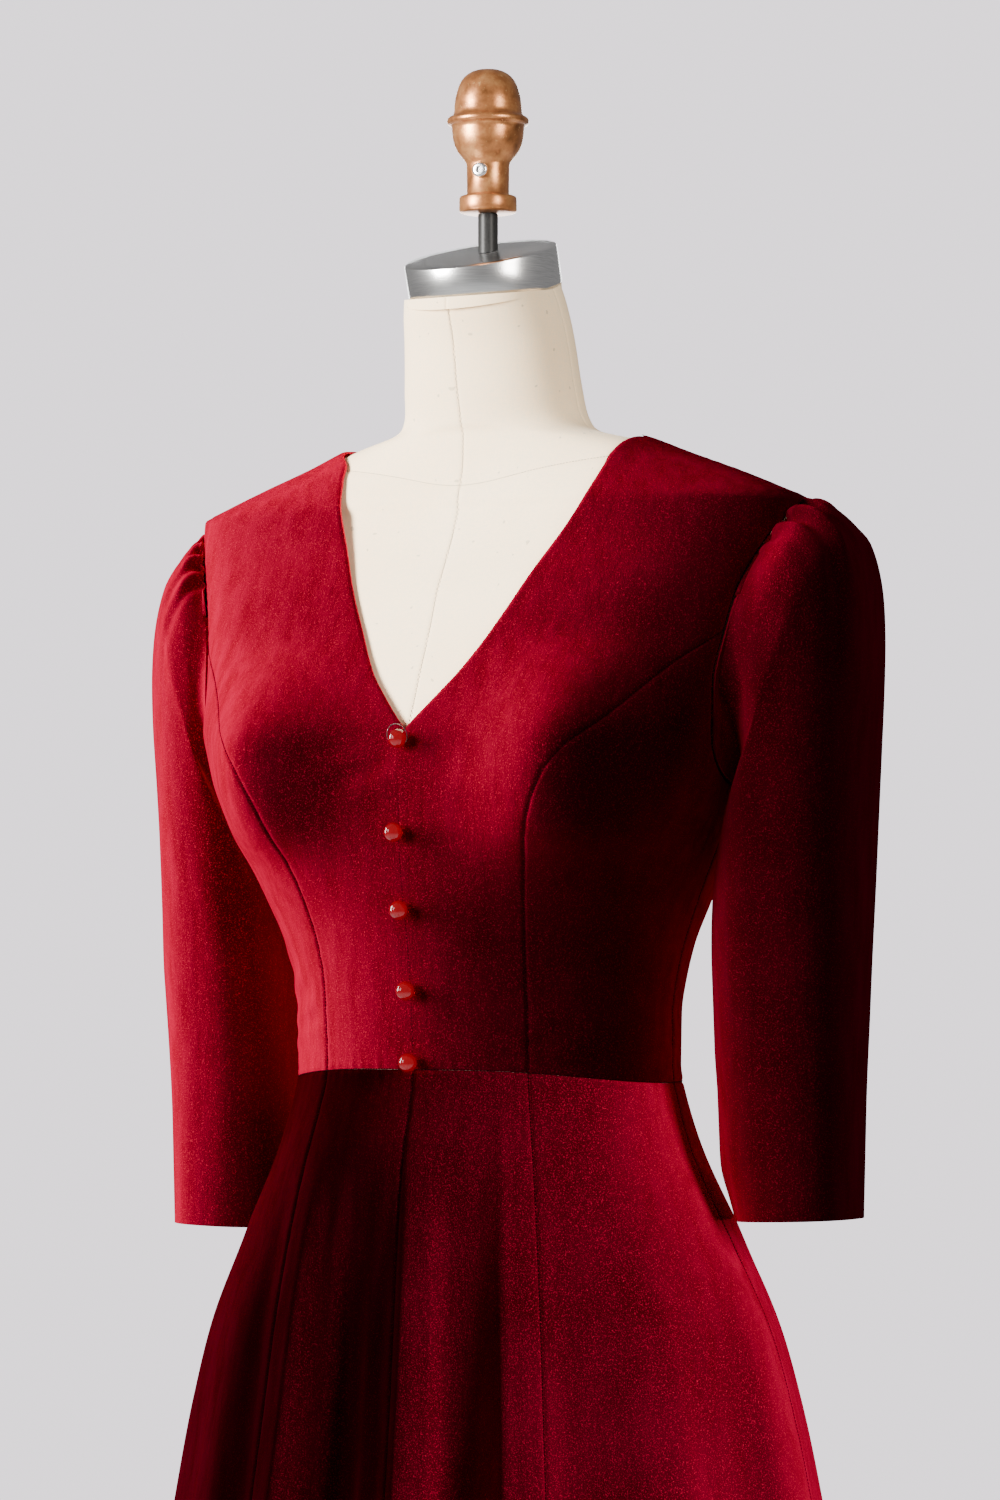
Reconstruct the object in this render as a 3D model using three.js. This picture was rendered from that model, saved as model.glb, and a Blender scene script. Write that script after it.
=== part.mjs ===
// An a-line midi dress in stretch velvet, worn by a limbless canvas dress form on a round base.
// Millimetres, +Z up, the front of the dress faces -Y and the wearer's left is +X.
// The origin is the middle of the base, on the floor.

import * as THREE from "three";
import { mergeVertices } from "three/addons/utils/BufferGeometryUtils.js";

// Driving dimensions
const WAIST_HEIGHT = 1040;
const SKIRT_LENGTH = 740;
const VELVET_THICKNESS = 1.4;
const SEAM_GAP = 0.3;
const WAIST_SIDE_DROP = 8;
const SIDE_SEAM_ANGLE = 92;
const UNDERARM_HEIGHT = 161;
const PRINCESS_TOP_HEIGHT = 252;
const SHOULDER_TIP_HEIGHT = 331;
const NECK_POINT_HEIGHT = 373;
const NECKLINE_DEPTH_HEIGHT = 197;
const BACK_NECK_HEIGHT = 352;
const BUST_HALF_SPAN = 100;
const BUST_SPREAD = 45;
const SKIRT_PRINCESS_ANGLE = 41.5;
const RIGHT_SLEEVE_EXTRA_DROP = 12;
const RIGHT_SLEEVE_SAG = 12;
const GATHER_DEPTH = 2.2;
const CAP_GATHERS = 12;
const BUTTON_RADIUS = 5.6;
const BUTTON_HEIGHTS = [190, 137, 93, 46, 4];
const CLOTH_CLEARANCE = 1.6;

const FORM_BOTTOM = -215;
const FORM_TOP = 461;
const NECK_CAP_TILT = THREE.MathUtils.degToRad(17.5);
const NECK_CAP_RADIUS = 46;
const NECK_CAP_THICKNESS = 23;
const NECK_CAP_CENTRE_Y = -5;
const ROD_RADIUS = 6;
const NECK_LEAN_START = 385;
const NECK_LEAN = 0.5;
const FINIAL_Y = -2.5;
const FINIAL_BOTTOM = 509;
const FINIAL_NECK_RADIUS = 12.8;
const SCREW_RADIUS = 4.7;
const SCREW_HEIGHT = 24.4;
const SCREW_ANGLE = 8;
const POLE_RADIUS = 14;
const BASE_RADIUS = 165;
const BASE_THICKNESS = 12;
const BASE_HUB_RADIUS = 26;
const BASE_HUB_TOP = 34;

// Number of grid steps: rows climb a panel, columns go round it
const PRINCESS_ROWS = 12;
const ARMHOLE_FRONT_ROWS = 8;
const ARMHOLE_BACK_ROWS = 11;
const CENTRE_COLUMNS = 6;
const SIDE_COLUMNS = 6;
const BACK_NECK_COLUMNS = 10;
const SKIRT_ROWS = 11;
const SKIRT_CENTRE_COLUMNS = 8;
const SKIRT_SIDE_COLUMNS = 10;
const SKIRT_BACK_COLUMNS = 30;
const FORM_COLUMNS = 36;

// Sections of the worn bodice, by height above the waist seam. The half width is at the ridge,
// which lies at ridgeY; front and back are depths from the ridge. The higher the corner value,
// the squarer the section. Bust is how far the fullness stands out, and ease is the room
// between the cloth and the form.
const BODY_SECTIONS = [
  { height: -215, halfWidth: 160, front: 106, back: 128, ridgeY: 0, corner: 2.0, bust: 0, ease: 4.0 },
  { height: -150, halfWidth: 160, front: 106, back: 127, ridgeY: 0, corner: 2.0, bust: 0, ease: 4.0 },
  { height: -100, halfWidth: 150, front: 104, back: 117, ridgeY: 0, corner: 2.0, bust: 0, ease: 4.0 },
  { height: -50, halfWidth: 131, front: 99, back: 99, ridgeY: 0, corner: 2.0, bust: 0, ease: 4.0 },
  { height: 0, halfWidth: 120, front: 92, back: 84, ridgeY: 0, corner: 2.0, bust: 0, ease: 3.0 },
  { height: 34, halfWidth: 120, front: 94, back: 88, ridgeY: 0, corner: 2.0, bust: 0, ease: 3.0 },
  { height: 54, halfWidth: 123, front: 96, back: 92, ridgeY: 0, corner: 2.0, bust: 0, ease: 3.5 },
  { height: 74, halfWidth: 128, front: 99, back: 97, ridgeY: 0, corner: 2.0, bust: 2, ease: 4.0 },
  { height: 94, halfWidth: 135, front: 103, back: 102, ridgeY: 0, corner: 2.1, bust: 4, ease: 4.5 },
  { height: 117, halfWidth: 144, front: 107, back: 107, ridgeY: 0, corner: 2.2, bust: 10, ease: 5.0 },
  { height: 138, halfWidth: 153, front: 109, back: 111, ridgeY: 0, corner: 2.4, bust: 19, ease: 5.0 },
  { height: 165, halfWidth: 166, front: 109, back: 114, ridgeY: 0, corner: 2.6, bust: 22, ease: 5.0 },
  { height: 185, halfWidth: 172, front: 105, back: 115, ridgeY: 0, corner: 2.8, bust: 22, ease: 4.5 },
  { height: 200, halfWidth: 175, front: 102, back: 115, ridgeY: 0, corner: 3.0, bust: 18, ease: 4.0 },
  { height: 222, halfWidth: 177, front: 93, back: 114, ridgeY: 0, corner: 3.0, bust: 11, ease: 3.5 },
  { height: 235, halfWidth: 179, front: 88, back: 112, ridgeY: 1, corner: 3.0, bust: 6, ease: 3.0 },
  { height: 252, halfWidth: 182, front: 82, back: 108, ridgeY: 3, corner: 3.0, bust: 1, ease: 2.5 },
  { height: 282, halfWidth: 188, front: 73, back: 99, ridgeY: 6, corner: 3.0, bust: 0, ease: 2.6 },
  { height: 310, halfWidth: 196, front: 63, back: 86, ridgeY: 9, corner: 2.8, bust: 0, ease: 4.6 },
  { height: 331, halfWidth: 200, front: 57, back: 74, ridgeY: 10, corner: 2.5, bust: 0, ease: 6.8 },
  { height: 338, halfWidth: 186, front: 54, back: 71, ridgeY: 10, corner: 2.4, bust: 0, ease: 3.6 },
  { height: 349, halfWidth: 160, front: 49, back: 65, ridgeY: 10, corner: 2.2, bust: 0, ease: 2.3 },
  { height: 361, halfWidth: 128, front: 47, back: 59, ridgeY: 10, corner: 2.0, bust: 0, ease: 2.2 },
  { height: 374, halfWidth: 93, front: 47, back: 54, ridgeY: 10, corner: 2.0, bust: 0, ease: 2.4 },
  { height: 379, halfWidth: 68, front: 47, back: 52, ridgeY: 9, corner: 2.0, bust: 0, ease: 1.2 },
  { height: 385, halfWidth: 60.5, front: 47, back: 51, ridgeY: 8, corner: 2.0, bust: 0, ease: 0.7 },
  { height: 400, halfWidth: 57.5, front: 47, back: 48, ridgeY: 4, corner: 2.0, bust: 0, ease: 0.7 },
  { height: 420, halfWidth: 55, front: 47, back: 46, ridgeY: 0, corner: 2.0, bust: 0, ease: 0.7 },
  { height: 440, halfWidth: 52.5, front: 47, back: 46, ridgeY: -5, corner: 2.0, bust: 0, ease: 0.7 },
  { height: 470, halfWidth: 48.5, front: 47, back: 46, ridgeY: -10, corner: 2.0, bust: 0, ease: 0.7 },
];

// Sections of the hanging skirt, without its folds
const SKIRT_SECTIONS = [
  { height: 5, halfWidth: 120, front: 92, back: 84, ridgeY: 0, corner: 2.0, bust: 0 },
  { height: -9, halfWidth: 121, front: 93, back: 86, ridgeY: 0, corner: 2.0, bust: 0 },
  { height: -50, halfWidth: 133, front: 103, back: 102, ridgeY: 0, corner: 2.0, bust: 0 },
  { height: -100, halfWidth: 157, front: 109, back: 123, ridgeY: 0, corner: 2.0, bust: 0 },
  { height: -150, halfWidth: 180, front: 113, back: 139, ridgeY: 0, corner: 2.0, bust: 0 },
  { height: -200, halfWidth: 194, front: 117, back: 150, ridgeY: 0, corner: 2.0, bust: 0 },
  { height: -250, halfWidth: 204, front: 122, back: 158, ridgeY: 0, corner: 2.0, bust: 0 },
  { height: -350, halfWidth: 221, front: 133, back: 171, ridgeY: 0, corner: 2.0, bust: 0 },
  { height: -480, halfWidth: 242, front: 147, back: 187, ridgeY: 0, corner: 2.0, bust: 0 },
  { height: -610, halfWidth: 262, front: 160, back: 202, ridgeY: 0, corner: 2.0, bust: 0 },
  { height: -760, halfWidth: 284, front: 174, back: 218, ridgeY: 0, corner: 2.0, bust: 0 },
];

// Soft folds of the skirt: the angle at which each one lies, its spread in degrees, how far it
// stands out at the hem (in, where negative), and how far below the waist it starts
const SKIRT_FOLDS = [
  { angle: -86, spread: 7, out: 12, start: 120 },
  { angle: -70, spread: 8, out: -15, start: 90 },
  { angle: -55, spread: 8, out: 15, start: 110 },
  { angle: -35, spread: 8, out: 18, start: 40 },
  { angle: -15, spread: 8, out: -20, start: 50 },
  { angle: 6, spread: 8, out: 18, start: 35 },
  { angle: 20, spread: 7, out: -18, start: 45 },
  { angle: 35, spread: 8, out: 20, start: 30 },
  { angle: 50, spread: 6, out: -8, start: 120 },
  { angle: 64, spread: 7, out: 12, start: 90 },
  { angle: 77, spread: 6, out: -15, start: 110 },
  { angle: 89, spread: 6, out: 16, start: 70 },
  { angle: 106, spread: 8, out: -16, start: 90 },
  { angle: 123, spread: 8, out: 17, start: 60 },
  { angle: 140, spread: 8, out: -18, start: 70 },
  { angle: 158, spread: 8, out: 18, start: 50 },
  { angle: 176, spread: 9, out: -17, start: 80 },
  { angle: 194, spread: 8, out: 19, start: 50 },
  { angle: 212, spread: 8, out: -15, start: 90 },
  { angle: 229, spread: 8, out: 16, start: 60 },
  { angle: 247, spread: 8, out: -14, start: 100 },
];
// Below 1, a fold deepens fast near the waist and slowly near the hem
const FOLD_GROWTH = 0.8;

// Seam lines and edges of the bodice on the body's surface, for the wearer's left side
const PRINCESS_SEAM = [
  { height: 0, angle: 41.5 },
  { height: 34, angle: 41 },
  { height: 54, angle: 40.2 },
  { height: 74, angle: 39.9 },
  { height: 94, angle: 39.4 },
  { height: 117, angle: 40 },
  { height: 138, angle: 41.5 },
  { height: 165, angle: 45.2 },
  { height: 185, angle: 50.5 },
  { height: 200, angle: 55.8 },
  { height: 222, angle: 63.8 },
  { height: 235, angle: 68.8 },
  { height: PRINCESS_TOP_HEIGHT, angle: 76.8 },
];
// Half the opening of the front neckline at each height, and how much wider the wearer's left is
const NECKLINE = [
  { height: NECKLINE_DEPTH_HEIGHT, side: 0, leftExtra: 0 },
  { height: 215, side: 16, leftExtra: 0 },
  { height: 232, side: 29.5, leftExtra: 0.5 },
  { height: 263, side: 47, leftExtra: 1.5 },
  { height: 292, side: 61, leftExtra: 3 },
  { height: 329, side: 77, leftExtra: 7.5 },
  { height: 352, side: 84, leftExtra: 8 },
  { height: 361, side: 86, leftExtra: 8 },
  { height: NECK_POINT_HEIGHT, side: 100, leftExtra: 0 },
];
const NECKLINE_SHARE = 0.6;
const ARMHOLE_FRONT_UPPER = [
  { along: 0, height: PRINCESS_TOP_HEIGHT, angle: 76.8 },
  { along: 0.25, height: 272, angle: 78.1 },
  { along: 0.5, height: 293, angle: 80.6 },
  { along: 0.75, height: 313, angle: 84.5 },
  { along: 1, height: SHOULDER_TIP_HEIGHT, angle: SIDE_SEAM_ANGLE },
];
const ARMHOLE_FRONT_LOWER = [
  { along: 0, height: PRINCESS_TOP_HEIGHT, angle: 76.8 },
  { along: 0.25, height: 227, angle: 75.5 },
  { along: 0.5, height: 202, angle: 75.4 },
  { along: 0.72, height: 180, angle: 78 },
  { along: 0.87, height: 167, angle: 83.5 },
  { along: 1, height: UNDERARM_HEIGHT, angle: SIDE_SEAM_ANGLE },
];
const ARMHOLE_BACK = [
  { along: 0, height: UNDERARM_HEIGHT, angle: SIDE_SEAM_ANGLE },
  { along: 0.1, height: 167, angle: 100 },
  { along: 0.2, height: 181, angle: 106 },
  { along: 0.33, height: 205, angle: 110 },
  { along: 0.5, height: 238, angle: 111 },
  { along: 0.67, height: 269, angle: 109 },
  { along: 0.8, height: 293, angle: 105 },
  { along: 0.91, height: 314, angle: 99 },
  { along: 1, height: SHOULDER_TIP_HEIGHT, angle: SIDE_SEAM_ANGLE },
];

// Sections of the left sleeve: the outer point, the point next to the body, the front and back
// reach, how far the section has left the armhole's own curve (and before that how far it lifts
// off the armhole), the depth of the gathers, and how much a sagging cap sinks
const SLEEVE_SECTIONS = [
  { outX: 209, outZ: 334, inX: 171, inZ: 170, front: -42, back: 67, away: 0.25, lift: 4, gather: 0.5, sag: 0.3 },
  { outX: 221, outZ: 325, inX: 175, inZ: 166, front: -41, back: 69, away: 0.7, lift: 8, gather: 1, sag: 1 },
  { outX: 233, outZ: 309, inX: 171, inZ: 149, front: -39, back: 70, away: 1, lift: 0, gather: 0.8, sag: 1 },
  { outX: 240, outZ: 286, inX: 157, inZ: 127, front: -37, back: 71, away: 1, lift: 0, gather: 0.45, sag: 0.8 },
  { outX: 242, outZ: 257, inX: 150, inZ: 104, front: -35, back: 71, away: 1, lift: 0, gather: 0.2, sag: 0.6 },
  { outX: 241, outZ: 224, inX: 147, inZ: 80, front: -33, back: 71, away: 1, lift: 0, gather: 0, sag: 0.45 },
  { outX: 239, outZ: 189, inX: 146, inZ: 55, front: -31, back: 71, away: 1, lift: 0, gather: 0, sag: 0.4 },
  { outX: 237, outZ: 151, inX: 146, inZ: 30, front: -28, back: 70, away: 1, lift: 0, gather: 0, sag: 0.3 },
  { outX: 235, outZ: 112, inX: 146, inZ: 5, front: -25, back: 69, away: 1, lift: 0, gather: 0, sag: 0.15 },
  { outX: 233, outZ: 72, inX: 147, inZ: -18, front: -22, back: 67, away: 1, lift: 0, gather: 0, sag: 0 },
  { outX: 231, outZ: 32, inX: 147, inZ: -40, front: -19, back: 66, away: 1, lift: 0, gather: 0, sag: 0 },
  { outX: 229, outZ: -8, inX: 148, inZ: -60, front: -17, back: 65, away: 1, lift: 0, gather: 0, sag: 0 },
  { outX: 228, outZ: -50, inX: 153, inZ: -76, front: -15, back: 63, away: 1, lift: 0, gather: 0, sag: 0 },
  { outX: 227, outZ: -86, inX: 157, inZ: -88, front: -14, back: 62, away: 1, lift: 0, gather: 0, sag: 0 },
];
const SLEEVE_CORNER = 2.4;

// Outline of the turned finial above its underside, from the axis outwards and back to it
const FINIAL_PROFILE = [
  [0, 0],
  [16, 0],
  [17.3, 1.2],
  [17.3, 8.8],
  [16.2, 10],
  [FINIAL_NECK_RADIUS, 10.4],
  [FINIAL_NECK_RADIUS, 29.5],
  [15.6, 33.4],
  [18.2, 36.6],
  [20.2, 41],
  [21.4, 46.5],
  [21.8, 52],
  [24, 53.4],
  [24.6, 55],
  [24, 56.8],
  [21.4, 58.4],
  [20.4, 61],
  [20, 67],
  [19, 72],
  [16.2, 79.2],
  [12.2, 83.4],
  [7.5, 85.8],
  [0, 86.4],
];

const velvet = { color: 0x6e0014, roughness: 0.75, metalness: 0 };
const glass = { color: 0x9a1420, roughness: 0.1, metalness: 0 };
const canvas = { color: 0xe3d9c6, roughness: 0.9, metalness: 0 };
const aluminium = { color: 0xb9babd, roughness: 0.35, metalness: 1 };
const copper = { color: 0x7a3f26, roughness: 0.4, metalness: 1 };
const blackSteel = { color: 0x17171a, roughness: 0.5, metalness: 0.6 };

const radians = THREE.MathUtils.degToRad;
const lerp = THREE.MathUtils.lerp;

// Reads a table of rows at any key, by a smooth curve through the rows
function readTable(rows, key, at) {
  const last = rows.length - 1;
  const clamped = Math.min(Math.max(at, Math.min(rows[0][key], rows[last][key])),
    Math.max(rows[0][key], rows[last][key]));
  const rising = rows[last][key] > rows[0][key];
  let i = 0;
  while (i < last - 1 && (rising ? clamped > rows[i + 1][key] : clamped < rows[i + 1][key])) i += 1;
  const low = rows[i];
  const high = rows[i + 1];
  const before = rows[Math.max(i - 1, 0)];
  const after = rows[Math.min(i + 2, last)];
  const span = high[key] - low[key];
  const t = (clamped - low[key]) / span;
  const found = {};
  for (const column of Object.keys(low)) {
    const rise = high[column] - low[column];
    const slopeIn = i === 0 ? rise : span * (high[column] - before[column]) / (high[key] - before[key]);
    const slopeOut = i + 1 === last ? rise : span * (after[column] - low[column]) / (after[key] - low[key]);
    const t2 = t * t;
    const t3 = t2 * t;
    found[column] = (2 * t3 - 3 * t2 + 1) * low[column] + (t3 - 2 * t2 + t) * limitSlope(slopeIn, rise)
      + (3 * t2 - 2 * t3) * high[column] + (t3 - t2) * limitSlope(slopeOut, rise);
  }
  return found;
}

// Keeps the curve between two rows from swinging past them
function limitSlope(slope, rise) {
  if (slope * rise <= 0) return 0;
  return Math.sign(rise) * Math.min(Math.abs(slope), 3 * Math.abs(rise));
}

// A point of a section at an angle from the front, turning to the wearer's left
function sectionPoint(section, angle, height, extra) {
  const sine = Math.sin(radians(angle));
  const cosine = Math.cos(radians(angle));
  const depth = cosine > 0 ? section.front : section.back;
  const corner = section.corner;
  const reach = (Math.abs(sine) / section.halfWidth) ** corner + (Math.abs(cosine) / depth) ** corner;
  const radius = reach ** (-1 / corner) + extra;
  const x = radius * sine;
  let y = section.ridgeY - radius * cosine;
  if (cosine > 0) {
    const offBust = (Math.abs(x) - BUST_HALF_SPAN) / BUST_SPREAD;
    y -= section.bust * Math.exp(-offBust * offBust) * Math.min(1, 3 * cosine);
  }
  return new THREE.Vector3(x, y, height);
}

function bodyPoint(angle, height) {
  return sectionPoint(readTable(BODY_SECTIONS, "height", height), angle, height, 0);
}

// How far the skirt's folds stand out at an angle and height
function foldReach(angle, height) {
  let total = 0;
  for (const fold of SKIRT_FOLDS) {
    const away = ((angle - fold.angle + 540) % 360 - 180) / fold.spread;
    const drop = (-height - fold.start) / (SKIRT_LENGTH - fold.start);
    if (drop > 0) total += fold.out * drop ** FOLD_GROWTH * Math.exp(-away * away);
  }
  return total;
}

function skirtPoint(angle, height) {
  const section = readTable(SKIRT_SECTIONS, "height", height);
  return sectionPoint(section, angle, height, foldReach(angle, height));
}

// The outward direction of a surface at an angle and height
function surfaceNormal(surface, angle, height) {
  const step = 0.6;
  const across = surface(angle + step, height).sub(surface(angle - step, height));
  const up = surface(angle, height + step).sub(surface(angle, height - step));
  return across.cross(up).normalize();
}

function waistHeight(angle) {
  return -WAIST_SIDE_DROP * Math.min(1, Math.abs(Math.sin(radians(angle))) ** 4
    + (Math.cos(radians(angle)) < 0 ? 1 : 0));
}

// Points on the body along a table of places, for the wearer's left side
function trace(rows, steps) {
  const points = [];
  for (let i = 0; i <= steps; i += 1) {
    const row = readTable(rows, "along", i / steps);
    points.push(bodyPoint(row.angle, row.height));
  }
  return points;
}

// Seams and edges shared by the panels, as points on the body
function princessSeam() {
  const bottom = waistHeight(PRINCESS_SEAM[0].angle);
  const points = [];
  for (let i = 0; i <= PRINCESS_ROWS; i += 1) {
    const height = lerp(bottom, PRINCESS_TOP_HEIGHT, i / PRINCESS_ROWS);
    points.push(bodyPoint(readTable(PRINCESS_SEAM, "height", height).angle, height));
  }
  return points;
}

// The angle at which the body reaches this far to the side at a height
function angleAtSide(side, height) {
  let [low, high] = [0, SIDE_SEAM_ANGLE];
  for (let turn = 0; turn < 30; turn += 1) {
    const middle = (low + high) / 2;
    if (bodyPoint(middle, height).x < side) low = middle;
    else high = middle;
  }
  return high;
}

// Centre front from the waist to the bottom of the V, then the neckline, with closer steps near
// the shoulder, where it turns back
function frontEdge(steps, isLeft) {
  const points = [];
  for (let i = 0; i <= steps; i += 1) {
    const climb = i / steps;
    const up = (climb - 1 + NECKLINE_SHARE) / NECKLINE_SHARE;
    if (up <= 0) {
      points.push(bodyPoint(0, NECKLINE_DEPTH_HEIGHT * climb / (1 - NECKLINE_SHARE)));
    } else {
      const height = lerp(NECK_POINT_HEIGHT, NECKLINE_DEPTH_HEIGHT, (1 - up) ** 1.6);
      const { side, leftExtra } = readTable(NECKLINE, "height", height);
      points.push(bodyPoint(angleAtSide(isLeft ? side + leftExtra : side, height), height));
    }
  }
  return points;
}

function sideSeam() {
  const points = [];
  for (let i = 0; i <= PRINCESS_ROWS; i += 1) {
    const height = lerp(waistHeight(SIDE_SEAM_ANGLE), UNDERARM_HEIGHT, i / PRINCESS_ROWS);
    points.push(bodyPoint(SIDE_SEAM_ANGLE, height));
  }
  return points;
}

function shoulderSeam() {
  const points = [];
  for (let i = 0; i <= CENTRE_COLUMNS; i += 1) {
    const height = lerp(NECK_POINT_HEIGHT, SHOULDER_TIP_HEIGHT, (i / CENTRE_COLUMNS) ** 1.1);
    points.push(bodyPoint(SIDE_SEAM_ANGLE, height));
  }
  return points;
}

function waistLine(from, to, steps) {
  const points = [];
  for (let i = 0; i <= steps; i += 1) {
    const angle = lerp(from, to, i / steps);
    points.push(bodyPoint(angle, waistHeight(angle)));
  }
  return points;
}

function mirrorPoint(point) {
  return new THREE.Vector3(-point.x, point.y, point.z);
}

// The angle from the front at which a point lies
function angleOf(point) {
  const ridgeY = readTable(BODY_SECTIONS, "height", point.z).ridgeY;
  return THREE.MathUtils.radToDeg(Math.atan2(point.x, ridgeY - point.y));
}

// Moves a point square on to the body, and gives the outward direction there
function settle(point) {
  let normal;
  for (let turn = 0; turn < 5; turn += 1) {
    const angle = angleOf(point);
    normal = surfaceNormal(bodyPoint, angle, point.z);
    const above = point.clone().sub(bodyPoint(angle, point.z)).dot(normal);
    point.addScaledVector(normal, -above);
  }
  return normal;
}

// Fills four edges with a panel: bottom and top run the same way, left and right climb.
// The edges are drawn in by half a seam's gap, and the waist isn't.
function panel(left, right, bottom, top) {
  const rows = left.length - 1;
  const columns = bottom.length - 1;
  const grid = [];
  for (let j = 0; j <= rows; j += 1) {
    const v = j / rows;
    const row = [];
    for (let i = 0; i <= columns; i += 1) {
      const u = i / columns;
      const point = new THREE.Vector3();
      point.addScaledVector(left[j], 1 - u).addScaledVector(right[j], u);
      point.addScaledVector(bottom[i], 1 - v).addScaledVector(top[i], v);
      point.addScaledVector(bottom[0], -(1 - u) * (1 - v)).addScaledVector(bottom[columns], -u * (1 - v));
      point.addScaledVector(top[0], -(1 - u) * v).addScaledVector(top[columns], -u * v);
      row.push({ outer: point, normal: settle(point) });
    }
    grid.push(row);
  }
  return wallGeometry(drawnIn(grid), false);
}

// Draws a grid in from its seams and gives each point its inner side
function drawnIn(grid) {
  const rows = grid.length - 1;
  const columns = grid[0].length - 1;
  return grid.map((row, j) => row.map(({ outer, normal }, i) => {
    const moved = outer.clone();
    const climb = grid[Math.min(j + 1, rows)][i].outer.clone().sub(grid[Math.max(j - 1, 0)][i].outer);
    const across = row[Math.min(i + 1, columns)].outer.clone().sub(row[Math.max(i - 1, 0)].outer);
    const inwards = climb.clone().cross(normal).normalize().multiplyScalar(SEAM_GAP / 2);
    if (i === 0) moved.add(inwards);
    if (i === columns) moved.sub(inwards);
    if (j === rows) moved.add(across.cross(normal).normalize().multiplyScalar(SEAM_GAP / 2));
    return { outer: moved, inner: moved.clone().addScaledVector(normal, -VELVET_THICKNESS) };
  }));
}

// How far apart two outer points are, by their places in the grid read row by row
function outerDistance(points, one, other) {
  const columns = points[0].length;
  const pointAt = (place) => points[Math.floor(place / columns)][place % columns].outer;
  return pointAt(one).distanceTo(pointAt(other));
}

// One closed wall from a grid of outer and inner points; a tube joins its last column to its first
function wallGeometry(points, isTube) {
  const rows = points.length;
  const columns = points[0].length;
  const positions = [];
  const indices = [];
  for (const row of points) for (const { outer } of row) positions.push(outer.x, outer.y, outer.z);
  for (const row of points) for (const { inner } of row) positions.push(inner.x, inner.y, inner.z);
  const inside = rows * columns;
  const at = (j, i) => j * columns + (i % columns);
  const quad = (a, b, c, d) => indices.push(a, b, c, a, c, d);
  const spans = isTube ? columns : columns - 1;
  for (let j = 0; j < rows - 1; j += 1) {
    for (let i = 0; i < spans; i += 1) {
      const [a, b, c, d] = [at(j, i), at(j, i + 1), at(j + 1, i + 1), at(j + 1, i)];
      const shortWay = outerDistance(points, a, c) <= outerDistance(points, b, d);
      const [p, q, r, t] = shortWay ? [a, b, c, d] : [b, c, d, a];
      quad(p, q, r, t);
      quad(inside + r, inside + q, inside + p, inside + t);
    }
    if (!isTube) {
      const [low, high] = [at(j, 0), at(j + 1, 0)];
      quad(low, high, inside + high, inside + low);
      const [lowEnd, highEnd] = [at(j, columns - 1), at(j + 1, columns - 1)];
      quad(lowEnd, inside + lowEnd, inside + highEnd, highEnd);
    }
  }
  for (let i = 0; i < spans; i += 1) {
    const [a, b] = [at(0, i), at(0, i + 1)];
    quad(b, a, inside + a, inside + b);
    const [c, d] = [at(rows - 1, i), at(rows - 1, i + 1)];
    quad(c, d, inside + d, inside + c);
  }
  const geometry = new THREE.BufferGeometry();
  geometry.setAttribute("position", new THREE.Float32BufferAttribute(positions, 3));
  geometry.setIndex(indices);
  return geometry;
}

// The same piece on the other side of the body
function mirrored(geometry) {
  const copy = geometry.clone();
  const position = copy.getAttribute("position");
  for (let i = 0; i < position.count; i += 1) position.setX(i, -position.getX(i));
  const index = Array.from(copy.getIndex().array);
  for (let i = 0; i < index.length; i += 3) [index[i], index[i + 1]] = [index[i + 1], index[i]];
  copy.setIndex(index);
  return copy;
}

const model = new THREE.Group();
const dress = new THREE.Group();
const form = new THREE.Group();
dress.position.z = WAIST_HEIGHT;
form.position.z = WAIST_HEIGHT;
model.add(dress, form);

function addMesh(group, name, geometry, finish) {
  const mesh = new THREE.Mesh(geometry, new THREE.MeshStandardMaterial(finish));
  mesh.name = name;
  group.add(mesh);
  return mesh;
}

// Bodice: two centre fronts that meet under the buttons, two side fronts and one back
function addBodice() {
  const princess = princessSeam();
  const princessAngle = PRINCESS_SEAM[0].angle;
  const centreOuter = [...princess, ...trace(ARMHOLE_FRONT_UPPER, ARMHOLE_FRONT_ROWS).slice(1)];
  const centreFront = (isLeft) => panel(frontEdge(PRINCESS_ROWS + ARMHOLE_FRONT_ROWS, isLeft),
    centreOuter, waistLine(0, princessAngle, CENTRE_COLUMNS), shoulderSeam());
  addMesh(dress, "centre_front_left", centreFront(true), velvet);
  addMesh(dress, "centre_front_right", mirrored(centreFront(false)), velvet);
  const sideFront = panel(princess, sideSeam(),
    waistLine(princessAngle, SIDE_SEAM_ANGLE, SIDE_COLUMNS), trace(ARMHOLE_FRONT_LOWER, SIDE_COLUMNS));
  addMesh(dress, "side_front_left", sideFront, velvet);
  addMesh(dress, "side_front_right", mirrored(sideFront), velvet);

  const leftEdge = [...sideSeam(), ...trace(ARMHOLE_BACK, ARMHOLE_BACK_ROWS).slice(1)];
  const backColumns = 2 * CENTRE_COLUMNS + BACK_NECK_COLUMNS;
  const backBottom = waistLine(SIDE_SEAM_ANGLE, 360 - SIDE_SEAM_ANGLE, backColumns);
  addMesh(dress, "bodice_back", panel(leftEdge, leftEdge.map(mirrorPoint), backBottom, backTop()), velvet);
}

// The back's top edge: shoulder seam, neckline and shoulder seam
function backTop() {
  const shoulder = shoulderSeam();
  const neck = [];
  for (let i = 1; i < BACK_NECK_COLUMNS; i += 1) {
    const across = i / BACK_NECK_COLUMNS;
    const dip = Math.sin(Math.PI * across) ** 1.3;
    neck.push(bodyPoint(lerp(SIDE_SEAM_ANGLE, 360 - SIDE_SEAM_ANGLE, across),
      lerp(NECK_POINT_HEIGHT, BACK_NECK_HEIGHT, dip)));
  }
  return [...shoulder.slice().reverse(), ...neck, ...shoulder.map(mirrorPoint)];
}

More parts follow.
